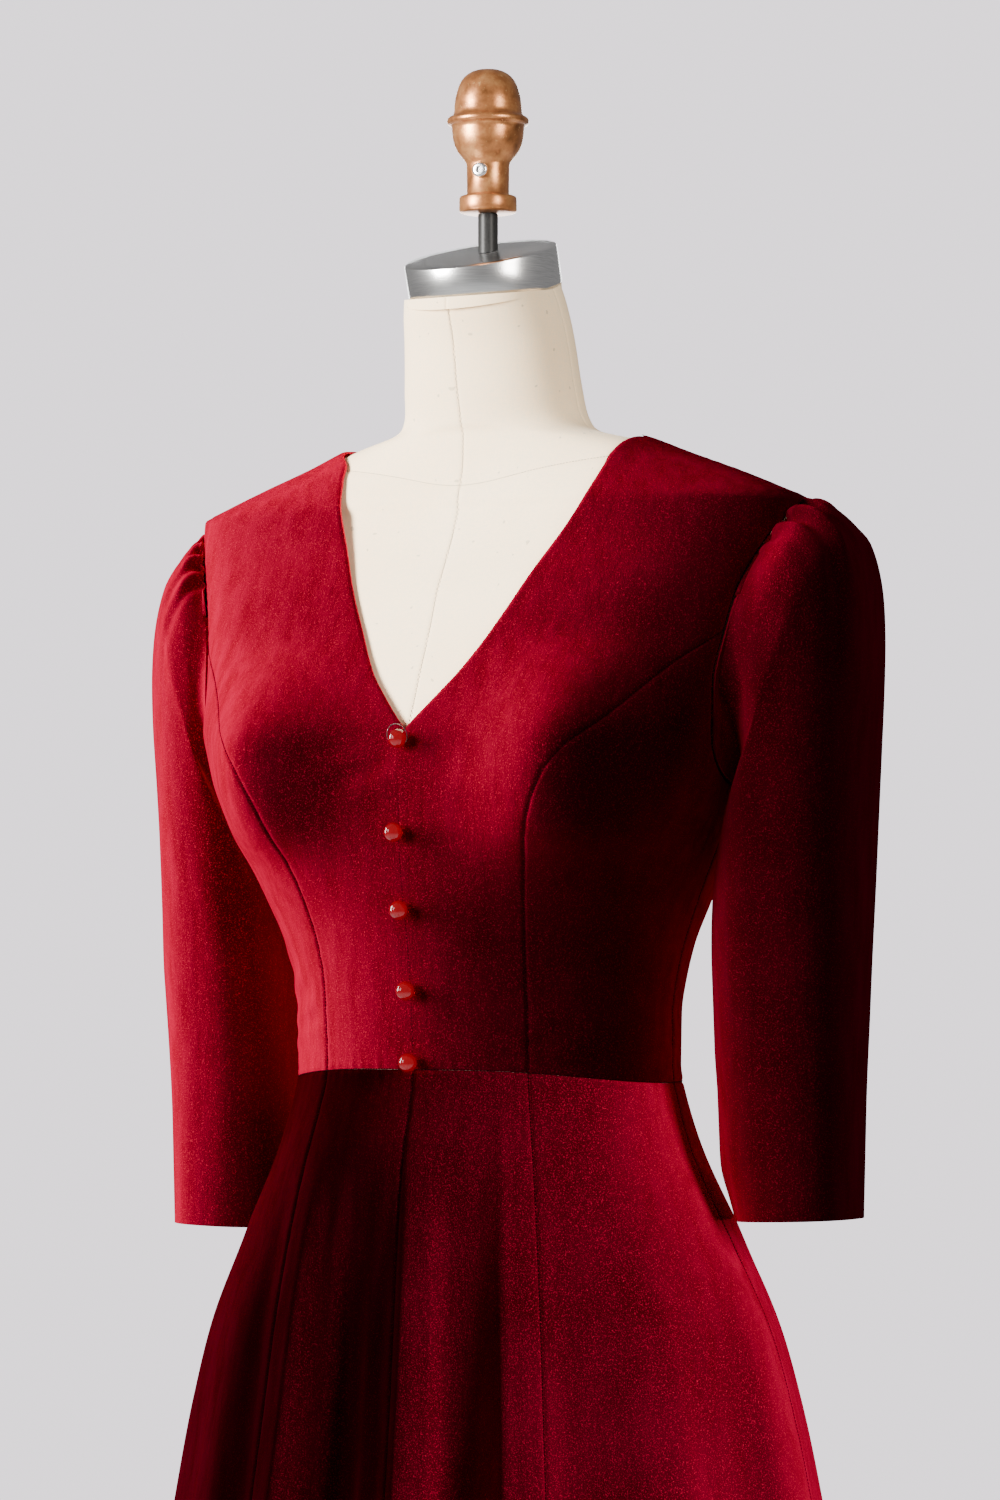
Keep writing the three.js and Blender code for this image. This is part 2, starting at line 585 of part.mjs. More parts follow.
// Skirt: two centre gores, two side gores and one back, which share their seams
function addSkirt() {
  const gore = (from, to, columns) => {
    const grid = [];
    for (let j = 0; j <= SKIRT_ROWS; j += 1) {
      const row = [];
      for (let i = 0; i <= columns; i += 1) {
        const angle = lerp(from, to, i / columns);
        const top = waistHeight(angle) - SEAM_GAP;
        const height = lerp(-SKIRT_LENGTH, top, (j / SKIRT_ROWS) ** 0.9);
        row.push({ outer: skirtPoint(angle, height), normal: surfaceNormal(skirtPoint, angle, height) });
      }
      grid.push(row);
    }
    return wallGeometry(drawnIn(grid), false);
  };
  const princess = SKIRT_PRINCESS_ANGLE;
  const side = SIDE_SEAM_ANGLE;
  addMesh(dress, "skirt_centre_left", gore(0, princess, SKIRT_CENTRE_COLUMNS), velvet);
  addMesh(dress, "skirt_centre_right", gore(-princess, 0, SKIRT_CENTRE_COLUMNS), velvet);
  addMesh(dress, "skirt_side_left", gore(princess, side, SKIRT_SIDE_COLUMNS), velvet);
  addMesh(dress, "skirt_side_right", gore(-side, -princess, SKIRT_SIDE_COLUMNS), velvet);
  addMesh(dress, "skirt_back", gore(side, 360 - side, SKIRT_BACK_COLUMNS), velvet);
}

// The armhole of the left side, from the shoulder tip down the front and up the back. Each
// stretch along the cap has a point halfway, so that its gathers have room.
function armholeRing() {
  const front = trace(ARMHOLE_FRONT_UPPER, ARMHOLE_FRONT_ROWS).reverse();
  const lower = trace(ARMHOLE_FRONT_LOWER, SIDE_COLUMNS);
  const back = trace(ARMHOLE_BACK, ARMHOLE_BACK_ROWS);
  const corners = [...front, ...lower.slice(1), ...back.slice(1, -1)];
  const count = corners.length;
  const ring = [];
  corners.forEach((corner, i) => {
    const next = corners[(i + 1) % count];
    const normal = settle(corner.clone());
    const along = next.clone().sub(corners[(i + count - 1) % count]);
    const into = normal.clone().cross(along).normalize();
    ring.push({ outer: corner.clone().addScaledVector(into, SEAM_GAP), normal, into, turn: i / count });
  });
  const finer = [];
  ring.forEach((place, i) => {
    finer.push({ ...place, fold: -1 });
    const onCap = Math.min(i, count - 1 - i) < CAP_GATHERS / 2;
    if (!onCap) return;
    const next = ring[(i + 1) % count];
    finer.push({
      outer: place.outer.clone().lerp(next.outer, 0.5),
      normal: place.normal.clone().add(next.normal).normalize(),
      into: place.into.clone().add(next.into).normalize(),
      turn: (i + 0.5) / count,
      fold: 1,
    });
  });
  return finer;
}

// Moves a sleeve's point out of the dress that it hangs beside
function clearOfDress(point) {
  const surface = point.z < 0 ? skirtPoint : bodyPoint;
  const ridgeY = readTable(BODY_SECTIONS, "height", point.z).ridgeY;
  const wall = surface(angleOf(point), point.z);
  const reach = Math.hypot(point.x, point.y - ridgeY);
  const needed = Math.hypot(wall.x, wall.y - ridgeY) + CLOTH_CLEARANCE;
  if (reach < needed) {
    point.x *= needed / reach;
    point.y = ridgeY + (point.y - ridgeY) * needed / reach;
  }
}

// Sleeve: a gathered cap and a straight arm, as rings from the armhole to the cuff
function sleeveGeometry(extraDrop, capSag) {
  const armhole = armholeRing();
  const rings = [armhole.map((place) => place.outer)];
  SLEEVE_SECTIONS.forEach((section, k) => {
    const drop = extraDrop * (k + 1) / SLEEVE_SECTIONS.length;
    const sag = capSag * section.sag;
    const halfX = (section.outX - sag - section.inX) / 2;
    const halfZ = (section.outZ - sag / 2 - section.inZ) / 2;
    const halfY = (section.back - section.front) / 2;
    rings.push(armhole.map((place) => {
      const turn = 2 * Math.PI * place.turn;
      const cosine = Math.sign(Math.cos(turn)) * Math.abs(Math.cos(turn)) ** (2 / SLEEVE_CORNER);
      const sine = Math.sign(Math.sin(turn)) * Math.abs(Math.sin(turn)) ** (2 / SLEEVE_CORNER);
      const fold = place.fold * GATHER_DEPTH * section.gather * Math.sqrt(Math.max(0, Math.cos(turn)));
      const round = new THREE.Vector3(
        section.inX + halfX + (halfX + fold) * cosine,
        section.front + halfY - (halfY + fold) * sine,
        section.inZ + halfZ + (halfZ + fold) * cosine - drop);
      const point = place.outer.clone().addScaledVector(place.normal, section.lift);
      point.addScaledVector(place.into, section.lift / 2).lerp(round, section.away);
      clearOfDress(point);
      return point;
    }));
  });
  const normals = ringNormals(rings);
  return wallGeometry(rings.map((ring, k) => ring.map((outer, i) => {
    const normal = k === 0 ? armhole[i].normal : normals[k][i];
    return { outer, inner: outer.clone().addScaledVector(normal, -VELVET_THICKNESS) };
  })), true);
}

// Outward directions at the points of a tube's rings
function ringNormals(rings) {
  const count = rings[0].length;
  return rings.map((ring, k) => ring.map((point, i) => {
    const around = ring[(i + 1) % count].clone().sub(ring[(i + count - 1) % count]);
    const next = rings[Math.min(k + 1, rings.length - 1)][i];
    const before = rings[Math.max(k - 1, 0)][i];
    return around.cross(next.clone().sub(before)).normalize();
  }));
}

function addSleeves() {
  addMesh(dress, "sleeve_left", sleeveGeometry(0, 0), velvet);
  const right = sleeveGeometry(RIGHT_SLEEVE_EXTRA_DROP, RIGHT_SLEEVE_SAG);
  addMesh(dress, "sleeve_right", mirrored(right), velvet);
}

// Ball buttons down the centre front
function addButtons() {
  BUTTON_HEIGHTS.forEach((height, i) => {
    const mesh = addMesh(dress, `button_${i + 1}`, new THREE.SphereGeometry(BUTTON_RADIUS, 10, 6), glass);
    const surface = bodyPoint(0, height);
    const normal = surfaceNormal(bodyPoint, 0, height);
    mesh.position.copy(surface).addScaledVector(normal, BUTTON_RADIUS + SEAM_GAP);
  });
}

// Torso and neck of the form. The neck leans bit by bit until its top is square to the neck cap.
function addTorso() {
  const heights = [FORM_BOTTOM, -180, -150, -120, -90, -60, -30, 0, 30, 60, 90, 115, 140, 165, 185, 205,
    225, 245, 265, 285, 305, 322, 331, 337, 345, 353, 361, 368, 374, 380, 388, 400, 420, 440, FORM_TOP];
  const rings = heights.map((height) => {
    const ease = readTable(BODY_SECTIONS, "height", height).ease;
    const lean = height === FORM_TOP ? 1
      : NECK_LEAN * THREE.MathUtils.smoothstep(height, NECK_LEAN_START, FORM_TOP);
    const ring = [];
    for (let i = 0; i < FORM_COLUMNS; i += 1) {
      const angle = 360 * i / FORM_COLUMNS;
      const normal = surfaceNormal(bodyPoint, angle, height);
      const point = bodyPoint(angle, height).addScaledVector(normal, -(VELVET_THICKNESS + ease));
      if (height === FORM_BOTTOM) point.z = FORM_BOTTOM;
      point.z = lerp(point.z, FORM_TOP + (point.y - NECK_CAP_CENTRE_Y) * Math.tan(NECK_CAP_TILT), lean);
      ring.push(point);
    }
    return ring;
  });
  addMesh(form, "form_torso", solidLoft(rings), canvas);
}

// A solid through closed rings, with flat ends
function solidLoft(rings) {
  const count = rings[0].length;
  const positions = [];
  const indices = [];
  for (const ring of rings) for (const point of ring) positions.push(point.x, point.y, point.z);
  for (let k = 0; k < rings.length - 1; k += 1) {
    for (let i = 0; i < count; i += 1) {
      const next = (i + 1) % count;
      const [a, b] = [k * count + i, k * count + next];
      const [c, d] = [(k + 1) * count + next, (k + 1) * count + i];
      indices.push(a, b, c, a, c, d);
    }
  }
  for (const k of [0, rings.length - 1]) {
    const centre = rings[k].reduce((sum, point) => sum.add(point), new THREE.Vector3()).divideScalar(count);
    const middle = positions.length / 3;
    positions.push(centre.x, centre.y, centre.z);
    for (let i = 0; i < count; i += 1) {
      const [a, b] = [k * count + i, k * count + (i + 1) % count];
      if (k === 0) indices.push(middle, b, a);
      else indices.push(middle, a, b);
    }
  }
  const geometry = new THREE.BufferGeometry();
  geometry.setAttribute("position", new THREE.Float32BufferAttribute(positions, 3));
  geometry.setIndex(indices);
  return geometry;
}

// A turned solid about +Z from a profile of radius and height pairs
function turned(profile, segments) {
  const geometry = new THREE.LatheGeometry(profile.map(([r, h]) => new THREE.Vector2(r, h)), segments);
  geometry.rotateX(Math.PI / 2);
  geometry.deleteAttribute("normal");
  geometry.deleteAttribute("uv");
  return mergeVertices(geometry, 1e-4);
}

function addNeckCap() {
  const edge = 1.5;
  const [radius, thickness] = [NECK_CAP_RADIUS, NECK_CAP_THICKNESS];
  const cap = addMesh(form, "neck_cap", turned([
    [0, 0],
    [radius - edge, 0],
    [radius, edge],
    [radius, thickness - edge],
    [radius - edge, thickness],
    [0, thickness],
  ], 40), aluminium);
  cap.position.set(0, NECK_CAP_CENTRE_Y, FORM_TOP + SEAM_GAP);
  cap.rotation.x = NECK_CAP_TILT;
}

// The height of the neck cap's sloping upper face at a place across it
function capTopHeight(y) {
  const [sine, cosine] = [Math.sin(NECK_CAP_TILT), Math.cos(NECK_CAP_TILT)];
  const centreY = NECK_CAP_CENTRE_Y - NECK_CAP_THICKNESS * sine;
  const centreZ = FORM_TOP + SEAM_GAP + NECK_CAP_THICKNESS * cosine;
  return centreZ + (y - centreY) * sine / cosine;
}

function addRodAndFinial() {
  const rodTop = FINIAL_BOTTOM - SEAM_GAP;
  const rod = turned([[0, 0], [ROD_RADIUS, 0], [ROD_RADIUS, rodTop], [0, rodTop]], 20);
  const position = rod.getAttribute("position");
  for (let i = 0; i < position.count; i += 1) {
    if (position.getZ(i) < 1) position.setZ(i, capTopHeight(FINIAL_Y + position.getY(i)) + SEAM_GAP);
  }
  addMesh(form, "finial_rod", rod, blackSteel).position.y = FINIAL_Y;
  addMesh(form, "finial", turned(FINIAL_PROFILE, 24), copper).position.set(0, FINIAL_Y, FINIAL_BOTTOM);
  const screw = turned([
    [0, 0],
    [SCREW_RADIUS, 0],
    [SCREW_RADIUS, 0.8],
    [SCREW_RADIUS * 0.7, 1.8],
    [0, 2.2],
  ], 16);
  const mesh = addMesh(form, "finial_screw", screw, aluminium);
  const reach = FINIAL_NECK_RADIUS + SEAM_GAP;
  const angle = radians(SCREW_ANGLE);
  mesh.position.set(reach * Math.sin(angle), FINIAL_Y - reach * Math.cos(angle), FINIAL_BOTTOM + SCREW_HEIGHT);
  mesh.rotation.set(Math.PI / 2, 0, angle, "ZXY");
}

function addStand() {
  const poleBottom = BASE_HUB_TOP - WAIST_HEIGHT + SEAM_GAP;
  const poleTop = FORM_BOTTOM - SEAM_GAP;
  addMesh(form, "stand_pole", turned([
    [0, poleBottom],
    [POLE_RADIUS, poleBottom],
    [POLE_RADIUS, poleTop],
    [0, poleTop],
  ], 20), blackSteel);
  const edge = 3;
  addMesh(form, "stand_base", turned([
    [0, 0],
    [BASE_RADIUS - edge, 0],
    [BASE_RADIUS, edge],
    [BASE_RADIUS, BASE_THICKNESS - edge],
    [BASE_RADIUS - edge, BASE_THICKNESS],
    [BASE_HUB_RADIUS + 4, BASE_THICKNESS],
    [BASE_HUB_RADIUS, BASE_THICKNESS + 4],
    [BASE_HUB_RADIUS, BASE_HUB_TOP - 2],
    [BASE_HUB_RADIUS - 2, BASE_HUB_TOP],
    [0, BASE_HUB_TOP],
  ], 36), blackSteel).position.z = -WAIST_HEIGHT;
}

addBodice();
addSkirt();
addSleeves();
addButtons();
addTorso();
addNeckCap();
addRodAndFinial();
addStand();

export default model;
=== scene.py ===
"""An a-line midi dress in burgundy stretch velvet on a limbless canvas dress form.

Tables and sizes are in millimetres, with heights measured from the waist seam. Meshes are made in
metres with +Z up. The front of the dress faces -Y and the wearer's left is +X.
"""

import math

import bmesh
import bpy
import numpy as np
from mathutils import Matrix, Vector


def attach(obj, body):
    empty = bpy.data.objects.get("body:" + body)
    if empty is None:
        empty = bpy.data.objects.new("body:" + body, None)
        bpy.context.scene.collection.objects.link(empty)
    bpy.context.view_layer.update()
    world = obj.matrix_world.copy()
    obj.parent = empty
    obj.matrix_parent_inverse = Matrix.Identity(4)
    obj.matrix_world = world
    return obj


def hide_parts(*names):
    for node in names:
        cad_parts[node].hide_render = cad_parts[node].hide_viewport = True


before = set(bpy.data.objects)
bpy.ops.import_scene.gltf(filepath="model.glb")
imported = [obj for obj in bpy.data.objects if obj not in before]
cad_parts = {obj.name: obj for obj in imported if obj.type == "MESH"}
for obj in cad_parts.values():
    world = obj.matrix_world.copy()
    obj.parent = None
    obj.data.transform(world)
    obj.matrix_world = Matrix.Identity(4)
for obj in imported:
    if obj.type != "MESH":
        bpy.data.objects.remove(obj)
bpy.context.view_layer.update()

MM = 0.001
WAIST_HEIGHT = 1040
SKIRT_LENGTH = 740
VELVET_THICKNESS = 1.4
HEM_THICKNESS = 2.4
HEM_DEPTH = 26
WAIST_SIDE_DROP = 8
SIDE_SEAM_ANGLE = 92
UNDERARM_HEIGHT = 161
PRINCESS_TOP_HEIGHT = 252
SHOULDER_TIP_HEIGHT = 331
NECK_POINT_HEIGHT = 373
NECKLINE_DEPTH_HEIGHT = 197
BACK_NECK_HEIGHT = 352
BUST_HALF_SPAN = 100
BUST_SPREAD = 45
SKIRT_PRINCESS_ANGLE = 41.5
RIGHT_SLEEVE_EXTRA_DROP = 12
RIGHT_SLEEVE_SAG = 12
SLEEVE_CORNER = 2.4
CLOTH_CLEARANCE = 1.6
SEAM_DIP = 0.7
SEAM_DIP_WIDTH = 1.3
EDGE_ROLL = 0.6
EDGE_ROLL_WIDTH = 1.1

BUTTON_RADIUS = 5.6
BUTTON_HEIGHTS = (190, 137, 93, 46, 4)

FORM_BOTTOM = -215
FORM_TOP = 461
NECK_CAP_TILT = math.radians(17.5)
NECK_CAP_RADIUS = 46
NECK_CAP_THICKNESS = 23
NECK_CAP_CENTRE_Y = -5
NECK_LEAN_START = 385
NECK_LEAN = 0.5
FINIAL_Y = -2.5
FINIAL_BOTTOM = 509
ROD_RADIUS = 6
SCREW_HEIGHT = 24.4
SCREW_ANGLE = 8
FINIAL_NECK_RADIUS = 12.8
POLE_RADIUS = 14
BASE_RADIUS = 165
BASE_THICKNESS = 12
SMALL_GAP = 0.3
CHEST_START = 150
NECK_START = 330
CANVAS_SEAM_DIP = 0.55
NECK_SEAM_DIP = 0.6

# How finely the cloth is divided: steps for each stretch of a pattern piece
PRINCESS_STEPS = 60
FRONT_ARMHOLE_STEPS = 40
BACK_ARMHOLE_STEPS = 35
BODICE_PANEL_STEPS = 44
SIDE_FRONT_STEPS = 30
BACK_STEPS = 110
SKIRT_STEPS = 110
SLEEVE_ROUND_STEPS = 300
SLEEVE_DOWN_STEPS = 110

# Shares of a seam's length that lie below the armhole, and of the back's top edge to each shoulder
FRONT_SHARE = 12 / 20
BACK_SHARE = 12 / 23
SHOULDER_SHARE = 6 / 22
# Shares of the way round an armhole, from the shoulder tip: down the front, and under the arm
ARMHOLE_FRONT_SHARE = 8 / 25
ARMHOLE_UNDER_SHARE = 14 / 25


class ShapeTable:
    """Reads the columns of a short table anywhere between its rows, on a smooth curve."""

    def __init__(self, columns, rows):
        rows = sorted(rows)
        self.columns = columns
        self.keys = np.array([row[0] for row in rows], float)
        self.values = np.array(rows, float).T

    def read(self, at):
        keys, last = self.keys, len(self.keys) - 1
        at = np.clip(np.asarray(at, float), keys[0], keys[-1])
        i = np.clip(np.searchsorted(keys, at, side="right") - 1, 0, last - 1)
        before, after = np.maximum(i - 1, 0), np.minimum(i + 2, last)
        span = keys[i + 1] - keys[i]
        t = (at - keys[i]) / span
        found = {}
        for column, values in zip(self.columns, self.values):
            low, high = values[i], values[i + 1]
            rise = high - low
            slope_in = span * (high - values[before]) / (keys[i + 1] - keys[before])
            slope_out = span * (values[after] - low) / (keys[after] - keys[i])
            slope_in = np.where(i == 0, rise, slope_in)
            slope_out = np.where(i + 1 == last, rise, slope_out)
            found[column] = (
                (2 * t**3 - 3 * t**2 + 1) * low
                + (t**3 - 2 * t**2 + t) * limit_slope(slope_in, rise)
                + (3 * t**2 - 2 * t**3) * high
                + (t**3 - t**2) * limit_slope(slope_out, rise)
            )
        return found


def limit_slope(slope, rise):
    """Keeps the curve between two rows from swinging past them."""
    limited = np.sign(rise) * np.minimum(np.abs(slope), 3 * np.abs(rise))
    return np.where(slope * rise <= 0, 0.0, limited)


SECTION_COLUMNS = ("height", "half_width", "front", "back", "ridge_y", "corner", "bust", "ease")
BODY = ShapeTable(
    SECTION_COLUMNS,
    [
        (-215, 160, 106, 128, 0, 2.0, 0, 4.0),
        (-150, 160, 106, 127, 0, 2.0, 0, 4.0),
        (-100, 150, 104, 117, 0, 2.0, 0, 4.0),
        (-50, 131, 99, 99, 0, 2.0, 0, 4.0),
        (0, 120, 92, 84, 0, 2.0, 0, 3.0),
        (34, 120, 94, 88, 0, 2.0, 0, 3.0),
        (54, 123, 96, 92, 0, 2.0, 0, 3.5),
        (74, 128, 99, 97, 0, 2.0, 2, 4.0),
        (94, 135, 103, 102, 0, 2.1, 4, 4.5),
        (117, 144, 107, 107, 0, 2.2, 10, 5.0),
        (138, 153, 109, 111, 0, 2.4, 19, 5.0),
        (165, 166, 109, 114, 0, 2.6, 22, 5.0),
        (185, 172, 105, 115, 0, 2.8, 22, 4.5),
        (200, 175, 102, 115, 0, 3.0, 18, 4.0),
        (222, 177, 93, 114, 0, 3.0, 11, 3.5),
        (235, 179, 88, 112, 1, 3.0, 6, 3.0),
        (252, 182, 82, 108, 3, 3.0, 1, 2.5),
        (282, 188, 73, 99, 6, 3.0, 0, 2.6),
        (310, 196, 63, 86, 9, 2.8, 0, 4.6),
        (331, 200, 57, 74, 10, 2.5, 0, 6.8),
        (338, 186, 54, 71, 10, 2.4, 0, 3.6),
        (349, 160, 49, 65, 10, 2.2, 0, 2.3),
        (361, 128, 47, 59, 10, 2.0, 0, 2.2),
        (374, 93, 47, 54, 10, 2.0, 0, 2.4),
        (379, 68, 47, 52, 9, 2.0, 0, 1.2),
        (385, 60.5, 47, 51, 8, 2.0, 0, 0.7),
        (400, 57.5, 47, 48, 4, 2.0, 0, 0.7),
        (420, 55, 47, 46, 0, 2.0, 0, 0.7),
        (440, 52.5, 47, 46, -5, 2.0, 0, 0.7),
        (470, 48.5, 47, 46, -10, 2.0, 0, 0.7),
    ],
)
SKIRT = ShapeTable(
    SECTION_COLUMNS[:-1],
    [
        (5, 120, 92, 84, 0, 2.0, 0),
        (-9, 121, 93, 86, 0, 2.0, 0),
        (-50, 133, 103, 102, 0, 2.0, 0),
        (-100, 157, 109, 123, 0, 2.0, 0),
        (-150, 180, 113, 139, 0, 2.0, 0),
        (-200, 194, 117, 150, 0, 2.0, 0),
        (-250, 204, 122, 158, 0, 2.0, 0),
        (-350, 221, 133, 171, 0, 2.0, 0),
        (-480, 242, 147, 187, 0, 2.0, 0),
        (-610, 262, 160, 202, 0, 2.0, 0),
        (-760, 284, 174, 218, 0, 2.0, 0),
    ],
)

# Soft folds of the skirt: angle, spread in degrees, reach at the hem, and start below the waist
SKIRT_FOLDS = [
    (-86, 7, 12, 120),
    (-70, 8, -15, 90),
    (-55, 8, 15, 110),
    (-35, 8, 18, 40),
    (-15, 8, -20, 50),
    (6, 8, 18, 35),
    (20, 7, -18, 45),
    (35, 8, 20, 30),
    (50, 6, -8, 120),
    (64, 7, 12, 90),
    (77, 6, -15, 110),
    (89, 6, 16, 70),
    (106, 8, -16, 90),
    (123, 8, 17, 60),
    (140, 8, -18, 70),
    (158, 8, 18, 50),
    (176, 9, -17, 80),
    (194, 8, 19, 50),
    (212, 8, -15, 90),
    (229, 8, 16, 60),
    (247, 8, -14, 100),
]
FOLD_GROWTH = 0.8
RIDGE_GROWTH = 0.6
# Narrow ridges and hollows that sharpen those folds, in the same columns
SKIRT_RIDGES = [
    (-62, 2.4, 3.0, 160),
    (-47, 3.0, -3.5, 60),
    (-34, 2.2, 3.6, 60),
    (-27, 2.6, -3.4, 50),
    (-19, 2.6, -3.0, 60),
    (-10, 2.2, 3.4, 110),
    (-4, 2.4, -3.2, 70),
    (3, 2.0, 3.2, 50),
    (9, 2.2, -2.4, 90),
    (15, 3.0, -3.2, 45),
    (26, 3.6, -3.5, 20),
    (32.5, 1.8, 4.0, 15),
    (46, 3.0, -2.5, 70),
    (61, 2.6, 2.4, 120),
    (71, 3.2, -3.0, 110),
    (84, 2.2, 3.0, 120),
    (100, 2.8, -3.2, 90),
    (118, 2.2, 3.6, 60),
    (133, 3.2, -3.6, 70),
    (151, 2.2, 3.8, 40),
    (168, 3.4, -3.8, 60),
    (187, 2.2, 4.0, 50),
    (205, 3.2, -3.4, 60),
    (224, 2.2, 3.4, 60),
    (240, 3.0, -3.2, 80),
    (262, 2.4, 3.0, 90),
]

PRINCESS_SEAM = ShapeTable(
    ("height", "angle"),
    [
        (0, 41.5),
        (34, 41),
        (54, 40.2),
        (74, 39.9),
        (94, 39.4),
        (117, 40),
        (138, 41.5),
        (165, 45.2),
        (185, 50.5),
        (200, 55.8),
        (222, 63.8),
        (235, 68.8),
        (PRINCESS_TOP_HEIGHT, 76.8),
    ],
)
EDGE_COLUMNS = ("along", "height", "angle")
# Half the opening of the front neckline at each height, and how much wider the wearer's left is
NECKLINE = ShapeTable(
    ("height", "side", "left_extra"),
    [
        (NECKLINE_DEPTH_HEIGHT, 0, 0),
        (215, 16, 0),
        (232, 29.5, 0.5),
        (263, 47, 1.5),
        (292, 61, 3),
        (329, 77, 7.5),
        (352, 84, 8),
        (361, 86, 8),
        (NECK_POINT_HEIGHT, 100, 0),
    ],
)
NECKLINE_SHARE = 0.6
ARMHOLE_FRONT_UPPER = ShapeTable(
    EDGE_COLUMNS,
    [
        (0, PRINCESS_TOP_HEIGHT, 76.8),
        (0.25, 272, 78.1),
        (0.5, 293, 80.6),
        (0.75, 313, 84.5),
        (1, SHOULDER_TIP_HEIGHT, SIDE_SEAM_ANGLE),
    ],
)
ARMHOLE_FRONT_LOWER = ShapeTable(
    EDGE_COLUMNS,
    [
        (0, PRINCESS_TOP_HEIGHT, 76.8),
        (0.25, 227, 75.5),
        (0.5, 202, 75.4),
        (0.72, 180, 78),
        (0.87, 167, 83.5),
        (1, UNDERARM_HEIGHT, SIDE_SEAM_ANGLE),
    ],
)
ARMHOLE_BACK = ShapeTable(
    EDGE_COLUMNS,
    [
        (0, UNDERARM_HEIGHT, SIDE_SEAM_ANGLE),
        (0.1, 167, 100),
        (0.2, 181, 106),
        (0.33, 205, 110),
        (0.5, 238, 111),
        (0.67, 269, 109),
        (0.8, 293, 105),
        (0.91, 314, 99),
        (1, SHOULDER_TIP_HEIGHT, SIDE_SEAM_ANGLE),
    ],
)

# Rings down the left sleeve, the armhole itself first
SLEEVE = ShapeTable(
    ("ring", "out_x", "out_z", "in_x", "in_z", "front", "back", "away", "lift", "sag"),
    [
        (0, 209, 334, 171, 170, -42, 67, 0, 0, 0),
        (1, 209, 334, 171, 170, -42, 67, 0.25, 4, 0.3),
        (2, 221, 325, 175, 166, -41, 69, 0.7, 8, 1),
        (3, 233, 309, 171, 149, -39, 70, 1, 0, 1),
        (4, 240, 286, 157, 127, -37, 71, 1, 0, 0.8),
        (5, 242, 257, 150, 104, -35, 71, 1, 0, 0.6),
        (6, 241, 224, 147, 80, -33, 71, 1, 0, 0.45),
        (7, 239, 189, 146, 55, -31, 71, 1, 0, 0.4),
        (8, 237, 151, 146, 30, -28, 70, 1, 0, 0.3),
        (9, 235, 112, 146, 5, -25, 69, 1, 0, 0.15),
        (10, 233, 72, 147, -18, -22, 67, 1, 0, 0),
        (11, 231, 32, 147, -40, -19, 66, 1, 0, 0),
        (12, 229, -8, 148, -60, -17, 65, 1, 0, 0),
        (13, 228, -50, 153, -76, -15, 63, 1, 0, 0),
        (14, 227, -86, 157, -88, -14, 62, 1, 0, 0),
    ],
)
LAST_SLEEVE_RING = 14
CUFF_RINGS = 0.55
ARMHOLE_DIP_RINGS = 0.12
# How much wider a cap pleat grows with each ring, and how deep the cloth dips on either side of it
CAP_PLEAT_FAN = 0.38
CAP_PLEAT_DIP = 0.55

# Pleats gathered into each sleeve cap: place round the armhole in turns from the shoulder tip
# (front first), half width in turns, how far they stand out, and how many rings down they run
LEFT_CAP_PLEATS = [
    (-0.17, 0.009, 1.4, 2.2),
    (-0.12, 0.010, 2.2, 2.8),
    (-0.07, 0.011, 3.6, 3.2),
    (-0.025, 0.011, 4.4, 3.2),
    (0.012, 0.010, 4.6, 2.8),
    (0.031, 0.0055, -4.4, 2.8),
    (0.050, 0.010, 5.2, 4.2),
    (0.071, 0.006, -3.8, 2.4),
    (0.092, 0.010, 2.8, 2.4),
    (0.135, 0.010, 1.0, 1.8),
]
RIGHT_CAP_PLEATS = [
    (-0.17, 0.009, 1.4, 2.2),
    (-0.12, 0.010, 2.2, 2.8),
    (-0.07, 0.011, 2.8, 3.6),
    (-0.03, 0.011, 4.0, 4.4),
    (0.004, 0.010, 4.8, 4.8),
    (0.036, 0.010, 5.4, 5.4),
    (0.068, 0.010, 5.4, 5.8),
    (0.104, 0.011, 4.8, 5.2),
    (0.145, 0.011, 3.2, 3.8),
]

# Height of the soft ridge on either side of a crease, as a share of its depth
CREASE_RIDGE = 0.45
# Drag creases of the bodice, each between two places on it: angle and height of both ends, half
# width, and how deep it goes
BODICE_CREASES = [
    (44, 14, 88, 5, 3.5, 2.1),
    (50, 24, 90, 17, 4.5, 1.7),
    (60, 42, 92, 30, 6.0, 1.4),
    (30, 10, 41, 5, 3.0, 1.2),
    (-46, 30, -80, 14, 4.0, 2.0),
    (-50, 46, -86, 30, 5.0, 1.6),
    (-56, 64, -88, 48, 6.0, 1.2),
    (-60, 12, -88, 2, 3.5, 1.5),
    (5, 176, 26, 166, 6.0, 1.3),
    (-5, 176, -24, 164, 6.0, 1.2),
    (76, 196, 90, 150, 5.0, 1.2),
    (-76, 196, -90, 150, 5.0, 1.2),
    (104, 168, 128, 150, 6.0, 1.2),
    (-104, 168, -128, 150, 6.0, 1.2),
    (110, 12, 150, 22, 5.0, 1.0),
    (-110, 12, -150, 22, 5.0, 1.0),
    (120, 34, 165, 44, 6.0, 0.8),
    (-120, 34, -165, 44, 6.0, 0.8),
]

# Each pattern piece as it was cut: width and length in metres, area in square metres, how the
# cloth is held, and what it rests on or hangs from
CUT_SIZES = {
    "centre_front": (0.205, 0.45, 0.0425, "stretched", ["form_torso"]),
    "side_front": (0.165, 0.33, 0.028, "stretched", ["form_torso"]),
    "bodice_back": (0.45, 0.41, 0.15, "stretched", ["form_torso"]),
    "skirt_centre": (0.175, 0.75, 0.092, "hung", ["centre_front_{side}"]),
    "skirt_side": (0.255, 0.76, 0.142, "hung", ["side_front_{side}"]),
    "skirt_back": (0.85, 0.76, 0.47, "hung", ["bodice_back"]),
    "sleeve": (0.34, 0.445, 0.1065, "gathered",
               ["centre_front_{side}", "side_front_{side}", "bodice_back"]),
}

